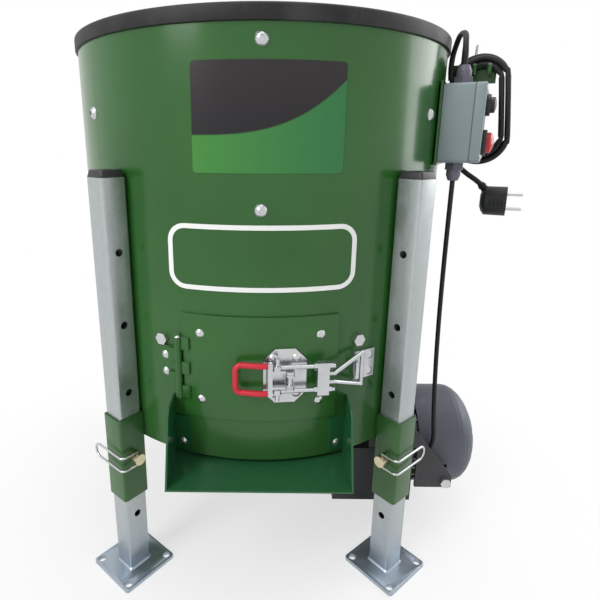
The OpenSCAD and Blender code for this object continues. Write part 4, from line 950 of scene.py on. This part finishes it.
def plug_sleeve(start, end):
    """The ribbed sleeve round the cord, from the tail's end into the body, in the plug's frame."""
    way = end - start
    sleeve = bar("plug_sleeve", SLEEVE_D, way.length, (0, 0, way.length / 2), sides=24)
    slice_across(sleeve, "z", SLEEVE_RIBS)
    draw_in(sleeve, "VERT", lambda vertex: vertex.co.z < RIB_START / 2 * MM, SLEEVE_MOUTH)
    for neck in SLEEVE_RIBS[::2]:
        draw_in(sleeve, "VERT", lambda vertex: abs(vertex.co.z - neck * MM) < NEAR * MM, SLEEVE_NECK)
    turn = way.to_track_quat("Z", "X").to_matrix().to_4x4()
    return place(sleeve, shift(*start) @ turn)


def plug_prong():
    """A pin of the plug, on its axis."""
    tip = PLUG_LEN + PRONG_LEN
    prong = bar("prong", PRONG_D, PRONG_LEN, (0, 0, tip - PRONG_LEN / 2), sides=20)
    round_edges(prong, PRONG_ROUND, corners(lambda at: at.z > (tip - NEAR) * MM))
    return prong


def plug():
    at = HANK_END + PLUG_STEP
    plug_frame = BOX_FRAME @ shift(*at)
    tail_end = HANK_END + Vector(TAIL_FALL[-1]) - at
    sleeve = plug_sleeve(tail_end, Vector((0, 0, PLUG_LEN / 2)))
    shell = place(join("mains_plug", plug_body(), sleeve), plug_frame)
    settle(shell, "frame", CORD_RUBBER, ("plug",))
    prongs = copies(plug_prong(), [shift(0, side * PRONG_GAP / 2, 0) for side in (-1, 1)])
    pins = place(join("plug_pins", *prongs), plug_frame)
    settle(pins, "frame", ZINC)
    return shell, pins


mains_cord, motor_lead = cords()
mains_plug, plug_pins = plug()
length_of(MAINS_PATH)
length_of(MOTOR_LEAD_PATH)


# Rim trim: rubber edging over the drum's rim, with a rounded crown

TRIM_T = 3
TRIM_H = 16
TRIM_LOW = DRUM_TOP + TRIM_T - TRIM_H
TRIM_CROWN = 3.2
TRIM_LIP = 1.0
TRIM_STEPS = 160
TRIM_MERGE = 0.01


def rim_trim():
    """Turns the trim's section round the drum's axis, and takes out the faces where it closes."""
    middle = TRIM_LOW + TRIM_H / 2
    section = (DRUM_R - DRUM_WALL / 2, 0, middle)
    trim = upright_sheet("rim_edging", DRUM_WALL + 2 * TRIM_T, TRIM_H, section)
    round_corners(trim, TRIM_CROWN, lambda vertex: vertex.co.z > middle * MM, segments=5)
    round_corners(trim, TRIM_LIP, lambda vertex: vertex.co.z < (TRIM_LOW + NEAR) * MM, segments=2)
    pick(trim, "FACE", everything)
    bpy.ops.mesh.spin(steps=TRIM_STEPS, angle=math.tau, center=(0, 0, 0), axis=AXIS["z"])
    bpy.ops.mesh.select_all(action="SELECT")
    bpy.ops.mesh.remove_doubles(threshold=TRIM_MERGE * MM)
    leave()
    pick(trim, "FACE", lambda face: len(face.verts) > 4)
    bpy.ops.mesh.delete(type="ONLY_FACE")
    bpy.ops.mesh.select_all(action="SELECT")
    bpy.ops.mesh.normals_make_consistent(inside=False)
    leave()
    settle(trim, "frame", TRIM_RUBBER, ("rim_trim",))


rim_trim()


# Decals: a printed label and a white outline, on the drum's front

FILM_T = 0.2
FILM_LIFT = 0.4  # from the drum's wall to the middle of the film
FILM_STEP = 4  # width of the strips in which a decal bends round the drum
FILM_REACH = 120
FILM_START = 20  # how far in front of the drum a flat decal stands
LABEL_CORNER = 4
OUTLINE_LEFT = -99.5
OUTLINE_RIGHT = 103
OUTLINE_LOW = 393.5
OUTLINE_HIGH = 465
OUTLINE_CORNER = 19
OUTLINE_LINE = 5.2


def wrap_on_drum(sheet):
    """Lays a flat sheet that stands in front of the drum onto its wall, as a film with a thickness."""
    slice_across(sheet, "x", range(-FILM_REACH, FILM_REACH + 1, FILM_STEP))
    wall = bar("wall", 2 * (DRUM_R + FILM_LIFT), DRUM_TOP, (0, 0, DRUM_TOP / 2), sides=720)
    apply_modifier(
        sheet,
        "SHRINKWRAP",
        target=wall,
        wrap_method="PROJECT",
        use_project_y=True,
        use_positive_direction=True,
        use_negative_direction=False,
    )
    bpy.data.objects.remove(wall)
    apply_modifier(sheet, "SOLIDIFY", thickness=FILM_T * MM, offset=0.0)


def decal_sheet(name, left, right, low, high, corner):
    """A flat decal with rounded corners, in front of the drum."""
    centre = ((left + right) / 2, -DRUM_R - FILM_START, (low + high) / 2)
    sheet = upright_sheet(name, right - left, high - low, centre)
    round_corners(sheet, corner, everything, segments=10)
    return sheet


def upper_label():
    label = decal_sheet("upper_label", LABEL_LEFT, LABEL_RIGHT, LABEL_LOW, LABEL_HIGH, LABEL_CORNER)
    wrap_on_drum(label)
    settle(label, "frame", LABEL)


def lower_outline():
    outline = decal_sheet(
        "lower_outline", OUTLINE_LEFT, OUTLINE_RIGHT, OUTLINE_LOW, OUTLINE_HIGH, OUTLINE_CORNER
    )
    pick(outline, "FACE", everything)
    bpy.ops.mesh.inset(thickness=OUTLINE_LINE * MM)
    bpy.ops.mesh.delete(type="FACE")
    leave()
    wrap_on_drum(outline)
    settle(outline, "frame", WHITE_FILM)


upper_label()
lower_outline()


# Weld beads, and the seam of the drum's shell

BEAD_DIP = 0.78  # a bead's thickness between its ripples, as a share of that on them
SEAM_DEG = -162
SEAM_D = 3.2
SEAM_RIPPLES = 90
SEAM_SINK = 0.4
SEAM_INSET = 2


def weld_bead(name, start, end, diameter, ripples):
    """A weld bead along a straight line, with a swelling for each ripple."""
    path = [start.lerp(end, k / (2 * ripples)) for k in range(2 * ripples + 1)]
    bead = strand(name, path, diameter, fineness=2)
    for k, point in enumerate(bead.data.splines[0].points):
        point.radius = 1.0 if k % 2 else BEAD_DIP
    return as_mesh(bead)


def shell_seam():
    """The shell's seam, up its rear left side."""
    wall = on_wall(SEAM_DEG)
    low = wall @ mm(0, DRUM_LOW + SEAM_INSET, -SEAM_SINK)
    high = wall @ mm(0, TRIM_LOW - SEAM_INSET, -SEAM_SINK)
    seam = weld_bead("shell_seam", low, high, SEAM_D, SEAM_RIPPLES)
    settle(seam, "frame", GREEN, angle=60)


shell_seam()


# Stand: rounded tubes with pin holes, welded feet, caps and sockets

LEG_TOP = 510
LEG_WALL = 2
LEG_CORNER = 3
LEG_HOLE_D = 9
FIRST_HOLE = 84
HOLE_PITCH = 86
HOLE_COUNT = 5
LEG_HOLES = [FIRST_HOLE + HOLE_PITCH * k for k in range(HOLE_COUNT)]
PIN_Z = LEG_HOLES[1]
FOOT_SIDE = 75
FOOT_T = 5
FOOT_CORNER = 4
FOOT_EDGE = 0.7
FOOT_PITCH = 60
FOOT_HOLE_D = 9
WELD_OUT = 2
WELD_SIDE = LEG_SIDE + 2 * WELD_OUT
WELD_H = 2.4
WELD_SINK = 0.2
WELD_CORNER = 4.5
WELD_SLOPE = 0.89
CAP_H = 8
CAP_SLOPE = 0.86
CAP_EDGE = 0.8
SOCKET_H = 112
SOCKET_BELOW = 0.7  # share of a socket that is below the drum's lower edge
SOCKET_LOW = DRUM_LOW - SOCKET_H * SOCKET_BELOW
SOCKET_HIGH = SOCKET_LOW + SOCKET_H
SOCKET_CORNER = 3.5
SOCKET_HOLE_D = 8.2
LEAST_CORNER = 0.8
BEAD_D = 3.6
BEAD_RIPPLES = 7
BEAD_INSET = 3
BEAD_SINK = 0.3
BEAD_END = 1.6
BEAD_X = SOCKET_SIDE / 2 - BEAD_INSET
BEAD_Y = SOCKET_SIDE / 2 - BEAD_SINK
BEAD_LOW = DRUM_LOW + BEAD_INSET
BEAD_HIGH = SOCKET_HIGH - BEAD_END


def square_tube(name, side, wall, low, high, corner, holes, hole_d):
    """A square tube with rounded corners and cross holes, in a leg's frame."""
    middle = (low + high) / 2
    height = high - low
    tube = block(name, (side, side, height), (0, 0, middle))
    round_edges(tube, corner, runs_along("z"))
    inner = side - 2 * wall
    core = block("core", (inner, inner, height + 2 * PAST), (0, 0, middle))
    round_edges(core, max(corner - wall, LEAST_CORNER), runs_along("z"))
    cut(tube, core)
    for hole in holes:
        cut(tube, bar("hole", hole_d, side + 2 * PAST, (0, 0, hole), along="x", sides=28))
    return tube


def foot_plate():
    plate = block("plate", (FOOT_SIDE, FOOT_SIDE, FOOT_T), (0, 0, FOOT_T / 2))
    round_edges(plate, FOOT_CORNER, runs_along("z"))
    for x in (-FOOT_PITCH / 2, FOOT_PITCH / 2):
        for y in (-FOOT_PITCH / 2, FOOT_PITCH / 2):
            cut(plate, bar("hole", FOOT_HOLE_D, FOOT_T + 2 * PAST, (x, y, FOOT_T / 2), sides=28))
    soften(plate, FOOT_EDGE)
    return plate


def foot_weld():
    """Fillet weld round the tube where it stands on its plate."""
    weld = block("weld", (WELD_SIDE, WELD_SIDE, WELD_H), (0, 0, FOOT_T - WELD_SINK + WELD_H / 2))
    round_edges(weld, WELD_CORNER, runs_along("z"))
    draw_in(weld, "FACE", faces_along("z"), WELD_SLOPE)
    return weld


def leg_on_foot():
    tube = square_tube("tube", LEG_SIDE, LEG_WALL, FOOT_T, LEG_TOP, LEG_CORNER, LEG_HOLES, LEG_HOLE_D)
    return join("leg", tube, foot_plate(), foot_weld())


def leg_cap():
    cap = block("cap", (LEG_SIDE, LEG_SIDE, CAP_H), (0, 0, LEG_TOP + CAP_H / 2))
    round_edges(cap, LEG_CORNER, runs_along("z"))
    draw_in(cap, "FACE", faces_along("z"), CAP_SLOPE)
    soften(cap, CAP_EDGE)
    return cap


def leg_socket():
    return square_tube(
        "socket", SOCKET_SIDE, SOCKET_WALL, SOCKET_LOW, SOCKET_HIGH, SOCKET_CORNER, [PIN_Z], SOCKET_HOLE_D
    )


def socket_bead():
    """A weld bead up the middle of a socket's inner face."""
    return weld_bead("bead", mm(0, BEAD_Y, BEAD_LOW), mm(0, BEAD_Y, BEAD_HIGH), BEAD_D, BEAD_RIPPLES)


def stand():
    leg_frames = [on_leg(corner) for corner in LEG_ANGLES]
    bead_frames = [at @ shift(side * BEAD_X, 0, 0) for at in leg_frames for side in (-1, 1)]
    leg = leg_on_foot()
    for corner, at in zip(LEG_ANGLES, leg_frames):
        own_leg = copy_in(leg, "leg_tube_" + corner, at)
        settle(own_leg, "frame", GALVANISED, ("leg_" + corner,))
    bpy.data.objects.remove(leg)
    caps = join("leg_end_caps", *copies(leg_cap(), leg_frames))
    settle(caps, "frame", BLACK_PLASTIC, ("leg_caps",))
    sockets = join("socket_tubes", *copies(leg_socket(), leg_frames))
    settle(sockets, "frame", GREEN, ("leg_sockets",))
    beads = join("socket_welds", *copies(socket_bead(), bead_frames))
    settle(beads, "frame", GREEN, angle=60)


# Wire bails: each goes through its lock pin's head and round the socket's outer face

PIN_HEAD_SIDES = {"front_left": 1, "front_right": -1, "rear_right": 1, "rear_left": -1}
PIN_HEAD_D = 14
PIN_HEAD_LEN = 12
BAIL_WIRE = 3
BAIL_GAP = 3
BAIL_X = SOCKET_SIDE / 2 + PIN_HEAD_LEN / 2 + CLEAR
BAIL_OUT = SOCKET_SIDE / 2 + BAIL_WIRE / 2 + BAIL_GAP
BAIL_UP = PIN_HEAD_D / 2 + BAIL_WIRE / 2 + CLEAR
BAIL_BEND = 5
BAIL_RUN = 24.5
ARC_STEP = 15


def bail(corner):
    """A bail's upper wire, from its pin's head to its rounded end, and the same turned over below."""
    upper = [(BAIL_X, 0, BAIL_UP)]
    for angle in range(0, 91, ARC_STEP):
        bend = math.radians(angle)
        x = BAIL_X - BAIL_BEND * (1 - math.cos(bend))
        y = BAIL_BEND * (1 - math.sin(bend)) - BAIL_OUT
        upper.append((x, y, BAIL_UP))
    for angle in range(0, 90, ARC_STEP):
        bend = math.radians(angle)
        upper.append((-BAIL_RUN - BAIL_UP * math.sin(bend), -BAIL_OUT, BAIL_UP * math.cos(bend)))
    lower = [(x, y, -z) for x, y, z in reversed(upper)]
    flip = Matrix.Diagonal((PIN_HEAD_SIDES[corner], 1, 1, 1))
    pin_frame = on_leg(corner) @ flip @ shift(0, 0, PIN_Z)
    path = [pin_frame @ mm(*point) for point in upper + lower]
    wire = as_mesh(strand("bail_wire_" + corner, path, BAIL_WIRE, closed=True, fineness=3))
    settle(wire, "bail_" + corner, ZINC, ("bail_" + corner,), angle=60)


stand()
for leg_corner in LEG_ANGLES:
    bail(leg_corner)


# Latch grip: a red sleeve in a rounded loop, in the latch's frame

GRIP_D = 6.5
GRIP_H = 39
GRIP_X = -20
GRIP_LEN = 38
GRIP_ROOT_OUT = 10.58
GRIP_WAIST = (-38, 8.0)  # place along the grip and distance out, between its root and its tip
GRIP_TIP_OUT = 5.08
GRIP_BEND = GRIP_D
GRIP_ARC_STEP = 18


def latch_grip():
    """The loop's upper arm, from its root to its rounded tip, and the same turned over below."""
    half = (GRIP_H - GRIP_D) / 2
    tip = GRIP_X - GRIP_LEN + GRIP_D / 2
    waist, waist_out = GRIP_WAIST
    upper = [
        (GRIP_X, half, GRIP_ROOT_OUT),
        (GRIP_X - GRIP_D, half, GRIP_ROOT_OUT),
        (waist, half, waist_out),
    ]
    for angle in range(0, 91, GRIP_ARC_STEP):
        bend = math.radians(angle)
        x = tip + GRIP_BEND * (1 - math.sin(bend))
        y = half - GRIP_BEND * (1 - math.cos(bend))
        upper.append((x, y, GRIP_TIP_OUT))
    lower = [(x, -y, z) for x, y, z in reversed(upper)]
    path = smooth_route([LATCH_FRAME @ mm(*point) for point in upper + lower])
    grip = as_mesh(strand("grip_sleeve", path, GRIP_D, fineness=5))
    settle(grip, "handle", RED_VINYL, ("latch_grip",), angle=60)


latch_grip()


# Switch box, in its own frame: rounded case and cover with screws, and collars round the buttons

BOX_WALL = 2.5
BOX_CORNER = 5
BOX_MIDDLE = BOX_LOW + BOX_H / 2
BOX_FRONT = BOX_BACK + BOX_DEPTH
COVER_DEPTH = 12
COVER_SEAM = 0.2
COVER_RIM = 1.5
COVER_EDGE = 1.4
CASE_EDGE = 0.6
CASE_FRONT = BOX_FRONT - COVER_DEPTH
COVER_BACK = CASE_FRONT + COVER_SEAM
BUTTON_STEP = BOX_H * 0.24
STEM_BORE = 9.2
STEM_BORE_LEN = 10
START_D = 18
STOP_D = 24
BUTTONS = ((BOX_MIDDLE + BUTTON_STEP, START_D), (BOX_MIDDLE - BUTTON_STEP, STOP_D))
COLLAR_PLAY = 0.8
COLLAR_WALL = 2.5
COLLAR_H = 5
COLLAR_SINK = 0.1
COLLAR_EDGE = 0.5
SCREW_D = 6.0
SCREW_H = 2.2
SCREW_SINK = 0.9
SCREW_ROUND = 0.7
SCREW_INSET = 7
SLOT_LEN = SCREW_D * 0.7
SLOT_W = 0.9
SLOT_DEPTH = 0.8


def box_block(name, low, high, inset=0):
    """A block between two depths of the box, set in from its sides, with rounded corners."""
    size = (BOX_W - 2 * inset, BOX_H - 2 * inset, high - low)
    piece = block(name, size, (0, BOX_MIDDLE, (low + high) / 2))
    round_edges(piece, BOX_CORNER - inset, runs_along("z"))
    return piece


def box_case():
    case = box_block("box_case", BOX_BACK, CASE_FRONT)
    soften(case, CASE_EDGE)
    cut(case, box_block("room", BOX_BACK + BOX_WALL, CASE_FRONT + PAST, BOX_WALL))
    return place(case, BOX_FRAME)


def box_cover():
    cover = box_block("box_cover", COVER_BACK, BOX_FRONT)
    pick(cover, "FACE", faces_along("z"))
    bpy.ops.mesh.inset(thickness=COVER_RIM * MM, depth=0.0)
    leave()
    soften(cover, COVER_EDGE, segments=3)
    cut(cover, box_block("room", COVER_BACK - PAST, BOX_FRONT - BOX_WALL, BOX_WALL))
    for height, _ in BUTTONS:
        cut(cover, bar("bore", STEM_BORE, STEM_BORE_LEN, (0, height, BOX_FRONT)))
    return place(cover, BOX_FRAME)


def cover_screw():
    """A round screw head with a cross recess, about the origin."""
    top = SCREW_H / 2
    screw = bar("screw", SCREW_D, SCREW_H, (0, 0, 0), sides=24)
    round_edges(screw, SCREW_ROUND, corners(lambda at: at.z > (top - NEAR) * MM), segments=3)
    for length, width in ((SLOT_LEN, SLOT_W), (SLOT_W, SLOT_LEN)):
        cut(screw, block("slot", (length, width, 2 * SLOT_DEPTH), (0, 0, top)))
    return screw


def cover_screws():
    side = BOX_W / 2 - SCREW_INSET
    rise = BOX_H / 2 - SCREW_INSET
    depth = BOX_FRONT - SCREW_SINK + SCREW_H / 2
    frames = [shift(x, BOX_MIDDLE + y, depth) for x in (-side, side) for y in (-rise, rise)]
    return place(join("cover_screws", *copies(cover_screw(), frames)), BOX_FRAME)


def button_collar(height, cap_d):
    """A raised ring round a button, clear of its cap."""
    inner = cap_d + 2 * COLLAR_PLAY
    centre = (0, height, BOX_FRONT - COLLAR_SINK + COLLAR_H / 2)
    collar = bar("collar", inner + 2 * COLLAR_WALL, COLLAR_H, centre, sides=48)
    cut(collar, bar("bore", inner, COLLAR_H + 2 * PAST, centre, sides=48))
    soften(collar, COLLAR_EDGE)
    return collar


def button_collars():
    collars = [button_collar(height, cap_d) for height, cap_d in BUTTONS]
    return place(join("button_collars", *collars), BOX_FRAME)


def switch_box():
    settle(box_case(), "frame", GREY_PLASTIC, ("switch_box",))
    settle(box_cover(), "frame", GREY_PLASTIC, ("box_lid",))
    settle(cover_screws(), "frame", ZINC)
    settle(button_collars(), "frame", BLACK_PLASTIC)


# Hook tips: the plated ends of the cord hook's two tips, behind the hank, in the box's frame

TIP_D = 3.9
TIP_GAP = 16
TIP_IN = 20.5
TIP_EDGE = 0.8
TIP_SIDE = 3
TIP_X = HANK_MIDDLE.x + HANK_PITCH + CORD_D / 2 + TIP_SIDE
TIP_LOW = 647
TIP_HIGH = 668.8


def hook_tips():
    middle = HANK_MIDDLE.z - TIP_IN
    path = [mm(TIP_X, height, middle) for height in (TIP_LOW, TIP_HIGH)]
    tip = as_mesh(strand("tip", path, TIP_D))
    soften(tip, TIP_EDGE)
    tips = copies(tip, [BOX_FRAME @ shift(0, 0, side * TIP_GAP / 2) for side in (-1, 1)])
    settle(join("hook_tips", *tips), "frame", ZINC)


switch_box()
hook_tips()
